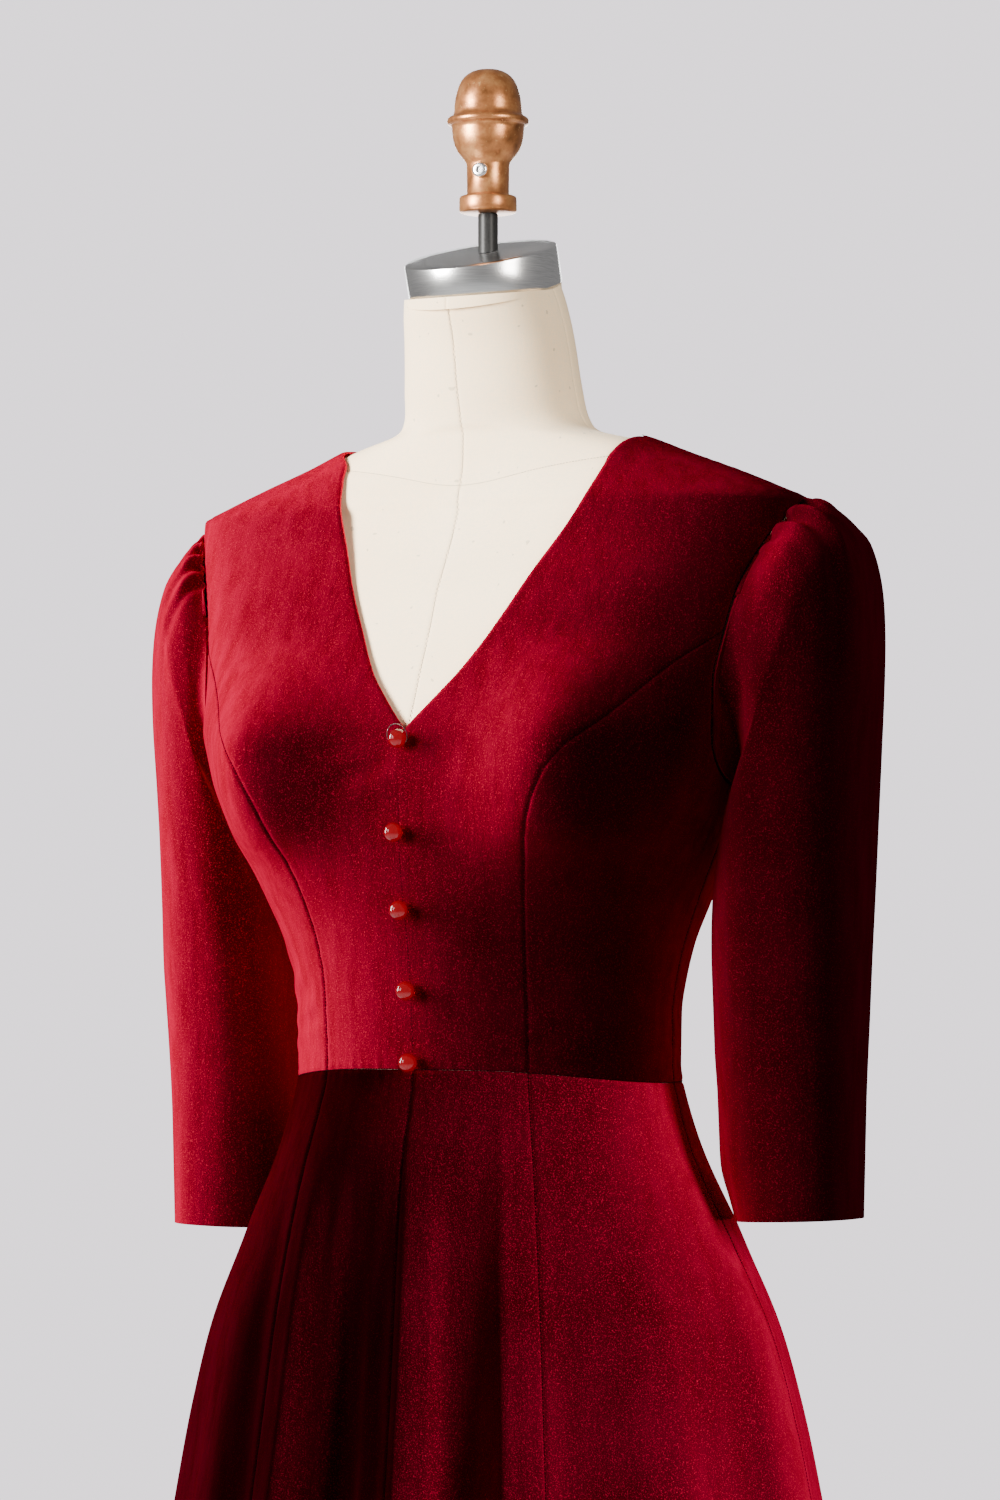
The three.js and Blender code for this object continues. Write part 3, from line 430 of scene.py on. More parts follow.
# Radius and height of the finial's outline, from its foot to its crown
FINIAL_PROFILE = [
    (0, 0), (15.4, 0), (16.6, 0.5), (17.3, 1.4), (17.3, 8.6), (16.8, 9.6), (15.6, 10.1),
    (13.4, 10.4), (12.8, 11.2), (12.8, 28.6), (13.2, 30), (14.2, 31.7), (15.6, 33.4), (17.0, 35),
    (18.4, 37), (19.4, 39), (20.3, 41.4), (21.0, 44), (21.4, 46.8), (21.7, 49.6), (21.8, 52),
    (22.6, 52.5), (24, 53.3), (24.5, 54.2), (24.6, 55.2), (24.4, 56.2), (23.6, 57.1), (22.2, 57.8),
    (21.2, 58.6), (20.7, 59.8), (20.4, 61.6), (20.2, 65), (19.8, 68.5), (19.0, 72), (17.9, 75.6),
    (16.2, 79.2), (14.3, 81.6), (12.2, 83.4), (9.8, 84.8), (7.2, 85.7), (3.6, 86.2), (0, 86.4),
]


def section_point(section, angle, height, extra=0.0):
    """Points of a section at angles from the front, turning to the wearer's left."""
    sine, cosine = np.sin(np.radians(angle)), np.cos(np.radians(angle))
    depth = np.where(cosine > 0, section["front"], section["back"])
    corner = section["corner"]
    reach = (np.abs(sine) / section["half_width"]) ** corner + (np.abs(cosine) / depth) ** corner
    radius = reach ** (-1 / corner) + extra
    x = radius * sine
    off_bust = (np.abs(x) - BUST_HALF_SPAN) / BUST_SPREAD
    fullness = section["bust"] * np.exp(-(off_bust**2)) * np.clip(3 * cosine, 0, 1)
    y = section["ridge_y"] - radius * cosine - fullness
    return np.stack([x, y, height + 0 * x], axis=-1)


def body_point(angle, height):
    return section_point(BODY.read(height), angle, height)


def fold_reach(angle, height, folds, growth):
    """How far folds stand out at an angle and height."""
    reach = 0.0
    for fold_angle, spread, out, start in folds:
        away = ((angle - fold_angle + 540) % 360 - 180) / spread
        drop = np.clip((-height - start) / (SKIRT_LENGTH - start), 0, None)
        reach = reach + out * drop**growth * np.exp(-(away**2))
    return reach


def skirt_point(angle, height):
    reach = fold_reach(angle, height, SKIRT_FOLDS, FOLD_GROWTH)
    return section_point(SKIRT.read(height), angle, height, reach)


def unit(vectors):
    return vectors / np.maximum(np.linalg.norm(vectors, axis=-1, keepdims=True), 1e-9)


def surface_normal(surface, angle, height):
    step = 0.6
    across = surface(angle + step, height) - surface(angle - step, height)
    up = surface(angle, height + step) - surface(angle, height - step)
    return unit(np.cross(across, up))


def angle_of(points):
    ridge_y = BODY.read(points[..., 2])["ridge_y"]
    return np.degrees(np.arctan2(points[..., 0], ridge_y - points[..., 1]))


def settle(points):
    """Moves points square on to the body, and gives the outward directions there."""
    for _ in range(5):
        angle, height = angle_of(points), points[..., 2]
        normal = surface_normal(body_point, angle, height)
        above = np.sum((points - body_point(angle, height)) * normal, axis=-1, keepdims=True)
        points = points - above * normal
    return points, normal


def waist_height(angle):
    side = np.abs(np.sin(np.radians(angle))) ** 4 + (np.cos(np.radians(angle)) < 0)
    return -WAIST_SIDE_DROP * np.minimum(1, side)


def mirrored(points):
    return points * np.array([-1, 1, 1])


def smooth_step(value, start, end):
    t = np.clip((value - start) / (end - start), 0, 1)
    return t * t * (3 - 2 * t)


def near_edges(steps, length, first=True, last=True):
    """Fractions from 0 to 1 that crowd together within a few millimetres of the edges."""
    close = np.array([0, 0.5, 1.1, 1.8, 2.7, 3.9, 5.6]) / length
    low = close if first else np.array([0.0])
    high = 1 - close[::-1] if last else np.array([1.0])
    middle = np.linspace(low[-1], high[0], steps + 1)[1:-1]
    return np.concatenate([low, middle, high])


# Edges of the pattern pieces as curves on the body, for the wearer's left side


def along_table(table, t):
    place = table.read(t)
    return body_point(place["angle"], place["height"])


def princess_seam(t):
    height = waist_height(PRINCESS_SEAM.read(0)["angle"]) * (1 - t) + PRINCESS_TOP_HEIGHT * t
    return body_point(PRINCESS_SEAM.read(height)["angle"], height)


def side_seam(t):
    height = waist_height(SIDE_SEAM_ANGLE) * (1 - t) + UNDERARM_HEIGHT * t
    return body_point(SIDE_SEAM_ANGLE + 0 * height, height)


def angle_at_side(side, height):
    """The angle at which the body reaches this far to the side at a height."""
    low, high = np.zeros_like(height), np.full_like(height, float(SIDE_SEAM_ANGLE))
    for _ in range(30):
        middle = (low + high) / 2
        short = body_point(middle, height)[..., 0] < side
        low, high = np.where(short, middle, low), np.where(short, high, middle)
    return high


def front_edge(t, is_left):
    """Centre front from the waist to the bottom of the V, then the neckline to the shoulder."""
    up = np.clip((t - 1 + NECKLINE_SHARE) / NECKLINE_SHARE, 0, 1)
    centre = body_point(0 * t, NECKLINE_DEPTH_HEIGHT * np.clip(t / (1 - NECKLINE_SHARE), 0, 1))
    height = NECK_POINT_HEIGHT + (NECKLINE_DEPTH_HEIGHT - NECK_POINT_HEIGHT) * (1 - up) ** 1.6
    half = NECKLINE.read(height)
    neckline = body_point(angle_at_side(half["side"] + is_left * half["left_extra"], height), height)
    return np.where((up <= 0)[..., None], centre, neckline)


def shoulder_seam(t):
    height = NECK_POINT_HEIGHT + (SHOULDER_TIP_HEIGHT - NECK_POINT_HEIGHT) * t**1.1
    return body_point(SIDE_SEAM_ANGLE + 0 * height, height)


def waist_line(start, end, t):
    angle = start + (end - start) * t
    return body_point(angle, waist_height(angle))


def back_neckline(t):
    dip = np.sin(np.pi * np.clip(t, 0, 1)) ** 1.3
    height = NECK_POINT_HEIGHT + (BACK_NECK_HEIGHT - NECK_POINT_HEIGHT) * dip
    return body_point(SIDE_SEAM_ANGLE + (360 - 2 * SIDE_SEAM_ANGLE) * t, height)


def joined(t, share, lower, upper):
    """One edge made of two curves: lower up to the share of its length, then upper."""
    low = lower(np.clip(t / share, 0, 1))
    high = upper(np.clip((t - share) / (1 - share), 0, 1))
    return np.where((t <= share)[..., None], low, high)


# Cloth


def crease_depth(points, creases):
    """How far creases pull points in, each a soft trough between two places on the body."""
    depth = np.zeros(points.shape[:-1])
    for angle_a, height_a, angle_b, height_b, width, deep in creases:
        start = body_point(np.array(float(angle_a)), np.array(float(height_a)))
        end = body_point(np.array(float(angle_b)), np.array(float(height_b)))
        line = end - start
        t = np.clip(((points - start) @ line) / (line @ line), 0, 1)
        away = np.linalg.norm(points - (start + t[..., None] * line), axis=-1)
        taper = 0.25 + 0.75 * np.sin(np.pi * np.clip(t, 0.0, 1.0))
        ridge = CREASE_RIDGE * np.exp(-(((away - 1.9 * width) / width) ** 2))
        depth += deep * taper * (np.exp(-((away / width) ** 2)) - ridge)
    return depth


def edge_distance(grid):
    """Distances of a grid's points from its left, right, bottom and top edges, along the cloth."""
    across = np.linalg.norm(np.diff(grid, axis=1), axis=-1)
    left = np.concatenate([np.zeros((grid.shape[0], 1)), np.cumsum(across, axis=1)], axis=1)
    climb = np.linalg.norm(np.diff(grid, axis=0), axis=-1)
    bottom = np.concatenate([np.zeros((1, grid.shape[1])), np.cumsum(climb, axis=0)], axis=0)
    return left, left[:, -1:] - left, bottom, bottom[-1:] - bottom


def pucker(along, away, seed):
    """Fine uneven puckers beside a sewn seam."""
    wave = np.sin(along * 0.93 + seed) + 0.6 * np.sin(along * 0.57 + 2.1 * seed)
    return 0.13 * wave * np.exp(-((away / 6) ** 2))


def cloth_shell(name, grid, normals, thickness, finish, is_tube=False):
    """A thin closed shell of cloth with its outer face on the grid."""
    rows, columns = grid.shape[:2]
    painted_inner_glow = grid - normals * np.broadcast_to(thickness, grid.shape[:2])[..., None]
    points = np.concatenate([grid.reshape(-1, 3), painted_inner_glow.reshape(-1, 3)])
    inside = rows * columns
    faces = []
    spans = columns if is_tube else columns - 1
    for j in range(rows - 1):
        for i in range(spans):
            a, b = j * columns + i, j * columns + (i + 1) % columns
            c, d = b + columns, a + columns
            faces.append((a, b, c, d))
            faces.append((inside + d, inside + c, inside + b, inside + a))
        if not is_tube:
            low, high = j * columns, (j + 1) * columns
            faces.append((low, high, inside + high, inside + low))
            low, high = low + columns - 1, high + columns - 1
            faces.append((low, inside + low, inside + high, high))
    top = (rows - 1) * columns
    for i in range(spans):
        a, b = i, (i + 1) % columns
        faces.append((b, a, inside + a, inside + b))
        faces.append((top + a, top + b, inside + top + b, inside + top + a))
    return new_piece(name, points, faces, finish)


def new_piece(name, points, faces, finish, sharp=50):
    """A mesh object from points in millimetres above the waist seam."""
    mesh = bpy.data.meshes.new(name)
    placed = (np.asarray(points, float) + [0, 0, WAIST_HEIGHT]) * MM
    mesh.from_pydata(placed.tolist(), [], faces)
    mesh.polygons.foreach_set("use_smooth", [True] * len(mesh.polygons))
    mesh.validate()
    mark_sharp(mesh, sharp)
    piece = bpy.data.objects.new(name, mesh)
    bpy.context.scene.collection.objects.link(piece)
    mesh.materials.append(finish)
    return piece


def mark_sharp(mesh, degrees):
    """Edges that turn more than this many degrees are shaded sharp."""
    work = bmesh.new()
    work.from_mesh(mesh)
    limit = math.radians(degrees)
    for edge in work.edges:
        edge.smooth = len(edge.link_faces) != 2 or edge.calc_face_angle(0) < limit
    work.to_mesh(mesh)
    work.free()


def sewn_panel(name, left, right, bottom, top, u, v, free_edges, finish):
    """A pattern piece filled in between four edge curves, with its seams turned in."""
    u_grid, v_grid = np.meshgrid(u, v)
    corner = lambda curve, t: curve(np.array([float(t)]))[0]
    grid = (
        left(v)[:, None] * (1 - u_grid)[..., None]
        + right(v)[:, None] * u_grid[..., None]
        + bottom(u)[None] * (1 - v_grid)[..., None]
        + top(u)[None] * v_grid[..., None]
        - corner(bottom, 0) * ((1 - u_grid) * (1 - v_grid))[..., None]
        - corner(bottom, 1) * (u_grid * (1 - v_grid))[..., None]
        - corner(top, 0) * ((1 - u_grid) * v_grid)[..., None]
        - corner(top, 1) * (u_grid * v_grid)[..., None]
    )
    grid, normals = settle(grid)
    return dressed_shell(name, grid, normals, free_edges, finish, BODICE_CREASES)


def dressed_shell(name, grid, normals, free_edges, finish, creases, hem=False):
    """Turns seams in, rolls free edges over, adds puckers and creases, and makes the shell.

    free_edges gives each free edge and how much of the roll each row of the grid has.
    """
    left, right, bottom, top = edge_distance(grid)
    sides = {"left": (left, bottom), "right": (right, bottom),
             "bottom": (bottom, left), "top": (top, left)}
    out = np.zeros(grid.shape[:2])
    for number, (side, (away, along)) in enumerate(sides.items()):
        free = free_edges.get(side)
        if free is None:
            out -= SEAM_DIP * np.exp(-((away / SEAM_DIP_WIDTH) ** 2))
            out += pucker(along, away, 1.3 * number + 0.7)
        else:
            out -= EDGE_ROLL * np.exp(-((away / EDGE_ROLL_WIDTH) ** 2)) * free[:, None]
    if creases:
        out -= crease_depth(grid, creases)
    grid = grid + normals * out[..., None]
    thickness = np.full(grid.shape[:2], VELVET_THICKNESS)
    if hem:
        thickness += (HEM_THICKNESS - VELVET_THICKNESS) * (bottom < HEM_DEPTH)
    return cloth_shell(name, grid, normals, thickness, finish)


def mirror_piece(piece):
    """Moves a piece to the other side of the body, in its mesh."""
    work = bmesh.new()
    work.from_mesh(piece.data)
    for vertex in work.verts:
        vertex.co.x = -vertex.co.x
    bmesh.ops.reverse_faces(work, faces=work.faces)
    work.to_mesh(piece.data)
    work.free()


def make_bodice(velvet):
    """Two centre fronts, two side fronts and the back, sewn along shared edges."""
    pieces = []
    princess_angle = float(PRINCESS_SEAM.read(0)["angle"])
    v_side = near_edges(PRINCESS_STEPS, 240)
    v_front = np.concatenate([
        FRONT_SHARE * near_edges(PRINCESS_STEPS, 250, last=False),
        FRONT_SHARE + (1 - FRONT_SHARE) * near_edges(FRONT_ARMHOLE_STEPS, 165, first=False)[1:],
    ])
    neckline = (v_front > 1 - NECKLINE_SHARE).astype(float)
    for side, turn in (("left", lambda points: points), ("right", mirrored)):
        flip = side == "right"
        pieces.append(panel_either_way(
            f"centre_front_{side}",
            lambda t: turn(front_edge(t, not flip)),
            lambda t: turn(front_side(t)),
            lambda t: turn(waist_line(0, princess_angle, t)),
            lambda t: turn(shoulder_seam(t)),
            near_edges(BODICE_PANEL_STEPS, 85), v_front, {"left": neckline}, velvet, flip))
        pieces.append(panel_either_way(
            f"side_front_{side}",
            lambda t: turn(princess_seam(t)),
            lambda t: turn(side_seam(t)),
            lambda t: turn(waist_line(princess_angle, SIDE_SEAM_ANGLE, t)),
            lambda t: turn(along_table(ARMHOLE_FRONT_LOWER, t)),
            near_edges(SIDE_FRONT_STEPS, 80), v_side, {}, velvet, flip))
    pieces.append(sewn_panel(
        "bodice_back", back_side, lambda t: mirrored(back_side(t)),
        lambda t: waist_line(SIDE_SEAM_ANGLE, 360 - SIDE_SEAM_ANGLE, t), back_top,
        near_edges(BACK_STEPS, 320), near_edges(PRINCESS_STEPS + BACK_ARMHOLE_STEPS, 340), {}, velvet))
    return pieces


def front_side(t):
    """The centre front's outer edge: the princess seam, then the armhole up to the shoulder tip."""
    return joined(t, FRONT_SHARE, princess_seam, lambda s: along_table(ARMHOLE_FRONT_UPPER, s))


def back_side(t):
    """The back's left edge: the side seam, then the armhole up to the shoulder tip."""
    return joined(t, BACK_SHARE, side_seam, lambda s: along_table(ARMHOLE_BACK, s))


def back_top(t):
    """The back's top edge: shoulder seam, neckline, shoulder seam."""
    first = shoulder_seam(np.clip(1 - t / SHOULDER_SHARE, 0, 1))
    neck = back_neckline(np.clip((t - SHOULDER_SHARE) / (1 - 2 * SHOULDER_SHARE), 0, 1))
    last = mirrored(shoulder_seam(np.clip((t - 1) / SHOULDER_SHARE + 1, 0, 1)))
    upper = np.where((t <= 1 - SHOULDER_SHARE)[..., None], neck, last)
    return np.where((t <= SHOULDER_SHARE)[..., None], first, upper)


def panel_either_way(name, left, right, bottom, top, u, v, free_edges, finish, flip):
    """A panel on the wearer's left, or its twin on the right with its columns turned round."""
    if not flip:
        return sewn_panel(name, left, right, bottom, top, u, v, free_edges, finish)
    swap = {"left": "right", "right": "left"}
    turned_edges = {swap.get(side, side): free for side, free in free_edges.items()}
    return sewn_panel(name, right, left, lambda t: bottom(1 - t), lambda t: top(1 - t),
                      1 - u[::-1], v, turned_edges, finish)


def make_skirt(velvet):
    """Two centre gores, two side gores and the back, from the waist seam to the hem."""
    pieces = []
    princess, side = SKIRT_PRINCESS_ANGLE, SIDE_SEAM_ANGLE
    gores = {
        "skirt_centre_left": (0, princess, 60),
        "skirt_centre_right": (-princess, 0, 60),
        "skirt_side_left": (princess, side, 70),
        "skirt_side_right": (-side, -princess, 70),
        "skirt_back": (side, 360 - side, 200),
    }
    for name, (start, end, steps) in gores.items():
        u = near_edges(steps, 2.6 * (end - start))
        v = near_edges(SKIRT_STEPS, SKIRT_LENGTH)
        angle, climb = np.meshgrid(start + (end - start) * u, v)
        height = -SKIRT_LENGTH + (waist_height(angle) - SMALL_GAP + SKIRT_LENGTH) * climb
        grid = skirt_point(angle, height)
        normals = surface_normal(skirt_point, angle, height)
        grid = grid + normals * fold_reach(angle, height, SKIRT_RIDGES, RIDGE_GROWTH)[..., None]
        hem = np.ones(len(v))
        pieces.append(dressed_shell(name, grid, normals, {"bottom": hem}, velvet, None, hem=True))
    return pieces


def armhole_place(turn):
    """Points of the left armhole at turns from the shoulder tip, down the front and up the back."""
    turn, front_end, under_end = turn % 1, ARMHOLE_FRONT_SHARE, ARMHOLE_UNDER_SHARE
    front = along_table(ARMHOLE_FRONT_UPPER, np.clip(1 - turn / front_end, 0, 1))
    under = along_table(ARMHOLE_FRONT_LOWER, np.clip((turn - front_end) / (under_end - front_end), 0, 1))
    back = along_table(ARMHOLE_BACK, np.clip((turn - under_end) / (1 - under_end), 0, 1))
    lower = np.where((turn <= under_end)[..., None], under, back)
    return np.where((turn <= front_end)[..., None], front, lower)


def signed_power(value, power):
    return np.sign(value) * np.abs(value) ** power


def cap_reach(turn, ring, creases):
    """How far the gathered pleats of the cap stand out."""
    reach = np.zeros(np.broadcast(turn, ring).shape)
    for place, width, out, length in creases:
        fan = 1 + CAP_PLEAT_FAN * ring
        away = ((turn - place + 0.5) % 1 - 0.5) / (width * fan)
        fade = np.clip(1 - ring / (length * 1.5), 0, 1) ** 1.2 * smooth_step(ring, -0.1, 0.5)
        dip = CAP_PLEAT_DIP * np.exp(-((np.abs(away) - 1.7) ** 2) * 2.2)
        reach += out * fade * (np.exp(-(away**2)) - dip)
    return reach


def clear_of_dress(points):
    """Moves points of a sleeve out of the dress that it hangs beside."""
    height = points[..., 2]
    angle = angle_of(points)
    wall = np.where((height < 0)[..., None], skirt_point(angle, height), body_point(angle, height))
    ridge_y = BODY.read(height)["ridge_y"]
    reach = np.hypot(points[..., 0], points[..., 1] - ridge_y)
    needed = np.hypot(wall[..., 0], wall[..., 1] - ridge_y) + CLOTH_CLEARANCE
    scale = np.maximum(1, needed / reach)
    moved = points.copy()
    moved[..., 0] *= scale
    moved[..., 1] = ridge_y + (points[..., 1] - ridge_y) * scale
    return moved


def make_sleeve(name, extra_drop, cap_sag, pleats, velvet, flip):
    """A straight sleeve from the armhole to the cuff, gathered at the cap."""
    turn = np.arange(SLEEVE_ROUND_STEPS) / SLEEVE_ROUND_STEPS
    seam = armhole_place(turn)
    _, normal = settle(seam.copy())
    along = np.roll(seam, -1, axis=0) - np.roll(seam, 1, axis=0)
    into = unit(np.cross(normal, along))
    last = LAST_SLEEVE_RING
    ring = np.concatenate([[0, 0.06, 0.13, 0.22], np.linspace(0.32, last - 0.12, SLEEVE_DOWN_STEPS),
                           [last - 0.06, last - 0.02, last]])
    turns, rings = np.meshgrid(turn, ring)
    section = SLEEVE.read(rings)
    cosine = signed_power(np.cos(2 * np.pi * turns), 2 / SLEEVE_CORNER)
    sine = signed_power(np.sin(2 * np.pi * turns), 2 / SLEEVE_CORNER)
    sag = cap_sag * section["sag"]
    half_x = (section["out_x"] - sag - section["in_x"]) / 2
    half_y = (section["back"] - section["front"]) / 2
    half_z = (section["out_z"] - sag / 2 - section["in_z"]) / 2
    drop = extra_drop * rings / last
    arm = np.stack(
        [
            section["in_x"] + half_x + half_x * cosine,
            section["front"] + half_y - half_y * sine,
            section["in_z"] + half_z + half_z * cosine - drop,
        ],
        axis=-1,
    )
    lift, away = section["lift"][..., None], section["away"][..., None]
    start = seam + normal * lift + into * (lift / 2 + SMALL_GAP)
    grid = clear_of_dress(start * (1 - away) + arm * away)
    normals = tube_normals(grid)
    normals[0] = normal
    reach = cap_reach(turns, rings, pleats)
    reach -= SEAM_DIP * np.exp(-((rings / ARMHOLE_DIP_RINGS) ** 2))
    grid = grid + normals * reach[..., None]
    grid = clear_of_dress(grid)
    cuff = rings > last - CUFF_RINGS
    thickness = VELVET_THICKNESS + (HEM_THICKNESS - VELVET_THICKNESS) * cuff
    sleeve = cloth_shell(name, grid, tube_normals(grid), thickness, velvet, is_tube=True)
    if flip:
        mirror_piece(sleeve)
    return sleeve


def tube_normals(grid):
    around = np.roll(grid, -1, axis=1) - np.roll(grid, 1, axis=1)
    down = np.gradient(grid, axis=0)
    return unit(np.cross(around, down))


# The dress form


def neck_seam_height(angle):
    """The canvas neck seam is low at the throat and high at the nape."""
    return 368 - 23 * np.cos(np.radians(angle))


def canvas_point(angle, height, above=0.0):
    """A place on the form's canvas, above being how far it stands off."""
    angle, height = np.asarray(angle, float), np.asarray(height, float)
    normal = surface_normal(body_point, angle, height)
    under = VELVET_THICKNESS + BODY.read(height)["ease"] - above
    point = body_point(angle, height) - normal * under[..., None]
    tilted = FORM_TOP + (point[..., 1] - NECK_CAP_CENTRE_Y) * math.tan(NECK_CAP_TILT)
    lean = NECK_LEAN * smooth_step(height, NECK_LEAN_START, FORM_TOP)
    lean = np.where(height == FORM_TOP, 1, lean)
    point[..., 2] = np.where(height == FORM_BOTTOM, FORM_BOTTOM, point[..., 2])
    point[..., 2] += (tilted - point[..., 2]) * lean
    return point


def make_torso(canvas):
    """A padded torso and neck under tight canvas, with its seams pulled in."""
    close = np.array([0, 0.4, 0.8, 1.3, 2.0, 3.2])
    quarter = np.concatenate([close, np.linspace(5, 85, 60), 90 - close[:0:-1]])
    around = np.unique(np.round(np.concatenate([quarter, 90 + quarter]), 4))
    around = np.concatenate([around, 360 - around[-2:0:-1]])
    heights = np.concatenate([
        np.linspace(FORM_BOTTOM, CHEST_START, 70)[:-1],
        np.linspace(CHEST_START, NECK_START, 70)[:-1],
        np.linspace(NECK_START, FORM_TOP, 110),
    ])
    angle, height = np.meshgrid(around, heights)
    plain = canvas_point(angle, height)
    reach = np.hypot(plain[..., 0], plain[..., 1])
    seam_depth = NECK_SEAM_DIP * np.exp(-(((height - neck_seam_height(angle)) / 1.2) ** 2))
    for seam_angle in (0, 90, 180, 270):
        off = np.radians((angle - seam_angle + 180) % 360 - 180) * reach
        seam_depth += CANVAS_SEAM_DIP * np.exp(-((off / 0.9) ** 2))
    points = canvas_point(angle, height, -seam_depth)
    rows, columns = angle.shape
    faces = []
    for j in range(rows - 1):
        for i in range(columns):
            a, b = j * columns + i, j * columns + (i + 1) % columns
            faces.append((a, b, b + columns, a + columns))
    faces.append(tuple(range(columns - 1, -1, -1)))
    faces.append(tuple((rows - 1) * columns + i for i in range(columns)))
    return new_piece("form_torso_canvas", points.reshape(-1, 3), faces, canvas)


def turned(name, profile, finish, segments=96, sharp=40):
    """A turned piece about +Z from a profile of radius and height, in millimetres."""
    points, faces = [], []
    rings = []
    for radius, height in profile:
        if radius == 0:
            rings.append([len(points)])
            points.append((0, 0, height))
        else:
            rings.append(list(range(len(points), len(points) + segments)))
            for i in range(segments):
                angle = 2 * math.pi * i / segments
                points.append((radius * math.cos(angle), radius * math.sin(angle), height))
    for low, high in zip(rings, rings[1:]):
        for i in range(segments):
            j = (i + 1) % segments
            if len(low) == 1:
                faces.append((low[0], high[j], high[i]))
            elif len(high) == 1:
                faces.append((low[i], low[j], high[0]))
            else:
                faces.append((low[i], low[j], high[j], high[i]))
    return new_piece(name, np.array(points, float), faces, finish, sharp)


def shift_piece(piece, tilt=0.0, offset=(0, 0, 0)):
    """Tilts a piece about X through the waist's middle, then moves it, all in its mesh."""
    cosine, sine = math.cos(tilt), math.sin(tilt)
    for vertex in piece.data.vertices:
        x, y, z = vertex.co
        z -= WAIST_HEIGHT * MM
        y, z = y * cosine - z * sine, y * sine + z * cosine
        vertex.co = (x + offset[0] * MM, y + offset[1] * MM, z + (offset[2] + WAIST_HEIGHT) * MM)
    piece.data.update()
    return piece


def turn_piece(piece, angle):
    """Turns a piece about the upright axis, in its mesh."""
    cosine, sine = math.cos(angle), math.sin(angle)
    for vertex in piece.data.vertices:
        x, y, z = vertex.co
        vertex.co = (x * cosine - y * sine, x * sine + y * cosine, z)
    piece.data.update()


def make_form_metal(aluminium, copper, black_steel):
    """Neck cap, rod, finial with its set screw, pole and base."""
    edge = 1.2
    radius, thickness = NECK_CAP_RADIUS, NECK_CAP_THICKNESS
    cap = turned("neck_cap_disc", [
        (0, 0), (radius - edge, 0), (radius - 0.3, 0.4), (radius, edge), (radius, thickness - edge),
        (radius - 0.3, thickness - 0.35), (radius - edge, thickness), (radius - 9, thickness),
        (radius - 9.4, thickness - 0.25), (radius - 9.8, thickness), (ROD_RADIUS + 3.5, thickness),
        (0, thickness)], aluminium, 128, 25)
    shift_piece(cap, NECK_CAP_TILT, (0, NECK_CAP_CENTRE_Y, FORM_TOP + SMALL_GAP))

    slope = math.tan(NECK_CAP_TILT)
    cap_centre_y = NECK_CAP_CENTRE_Y - thickness * math.sin(NECK_CAP_TILT)
    cap_top = FORM_TOP + SMALL_GAP + thickness * math.cos(NECK_CAP_TILT)
    cap_top += (FINIAL_Y - cap_centre_y) * slope
    rod_top = FINIAL_BOTTOM - SMALL_GAP
    rod = turned("finial_rod_shaft", [
        (0, cap_top), (ROD_RADIUS, cap_top), (ROD_RADIUS, rod_top - 0.6), (ROD_RADIUS - 0.6, rod_top),
        (0, rod_top)], black_steel, 48)
    for vertex in rod.data.vertices:
        if vertex.co.z < (WAIST_HEIGHT + cap_top + 1) * MM:
            vertex.co.z += vertex.co.y * slope + SMALL_GAP * MM
    shift_piece(rod, 0, (0, FINIAL_Y, 0))

    finial = turned("finial_turned", FINIAL_PROFILE, copper, 96, 60)
    shift_piece(finial, 0, (0, FINIAL_Y, FINIAL_BOTTOM))
    screw = make_screw(aluminium)
    shift_piece(screw, math.pi / 2, (0, -FINIAL_NECK_RADIUS - SMALL_GAP, SCREW_HEIGHT))
    turn_piece(screw, math.radians(SCREW_ANGLE))
    shift_piece(screw, 0, (0, FINIAL_Y, FINIAL_BOTTOM))

    pole_bottom = 34 - WAIST_HEIGHT + SMALL_GAP
    pole_top = FORM_BOTTOM - SMALL_GAP
    pole = turned("stand_pole_tube", [
        (0, pole_bottom), (POLE_RADIUS, pole_bottom), (POLE_RADIUS, pole_top), (0, pole_top)],
        black_steel, 64)
    base = turned("stand_base_disc", [
        (0, 0), (BASE_RADIUS - 2.4, 0), (BASE_RADIUS - 0.7, 0.6), (BASE_RADIUS, 2.4),
        (BASE_RADIUS, BASE_THICKNESS - 3), (BASE_RADIUS - 0.9, BASE_THICKNESS - 1),
        (BASE_RADIUS - 3, BASE_THICKNESS), (30, BASE_THICKNESS), (27.4, BASE_THICKNESS + 0.9),
        (26, BASE_THICKNESS + 4), (26, 31.6), (25.4, 33.2), (24, 34), (0, 34)], black_steel, 128)
    shift_piece(base, 0, (0, 0, -WAIST_HEIGHT))
    return {cap: "neck_cap", rod: "finial_rod", finial: "finial", screw: "finial_screw",
            pole: "stand_pole", base: "stand_base"}


def make_screw(aluminium):
    """The small set screw, with a round socket sunk into its face."""
    radius, depth = 4.7, 2.2
    screw = turned("finial_set_screw", [
        (0, 0), (radius, 0), (radius, 0.9), (radius - 0.25, 1.5), (radius - 1.0, 2.0),
        (radius - 1.7, depth), (2.1, depth), (2.0, depth - 0.15), (1.9, 0.8), (0, 0.8)], aluminium, 36, 35)
    return screw


def make_buttons(glass):
    """Five ball buttons down the centre front."""
    pieces = []
    for number, height in enumerate(BUTTON_HEIGHTS, 1):
        at = np.array(0.0), np.array(float(height))
        normal = surface_normal(body_point, *at)
        centre = body_point(*at) + normal * (BUTTON_RADIUS + SMALL_GAP)
        profile = [(0, -BUTTON_RADIUS)]
        for step in range(1, 24):
            angle = math.pi * step / 24
            profile.append((BUTTON_RADIUS * math.sin(angle), -BUTTON_RADIUS * math.cos(angle)))
        profile.append((0, BUTTON_RADIUS))
        ball = turned(f"ball_button_{number}", profile, glass, 40, 180)
        shift_piece(ball, 0, tuple(centre))
        pieces.append((ball, f"button_{number}"))
    return pieces


# Sewing


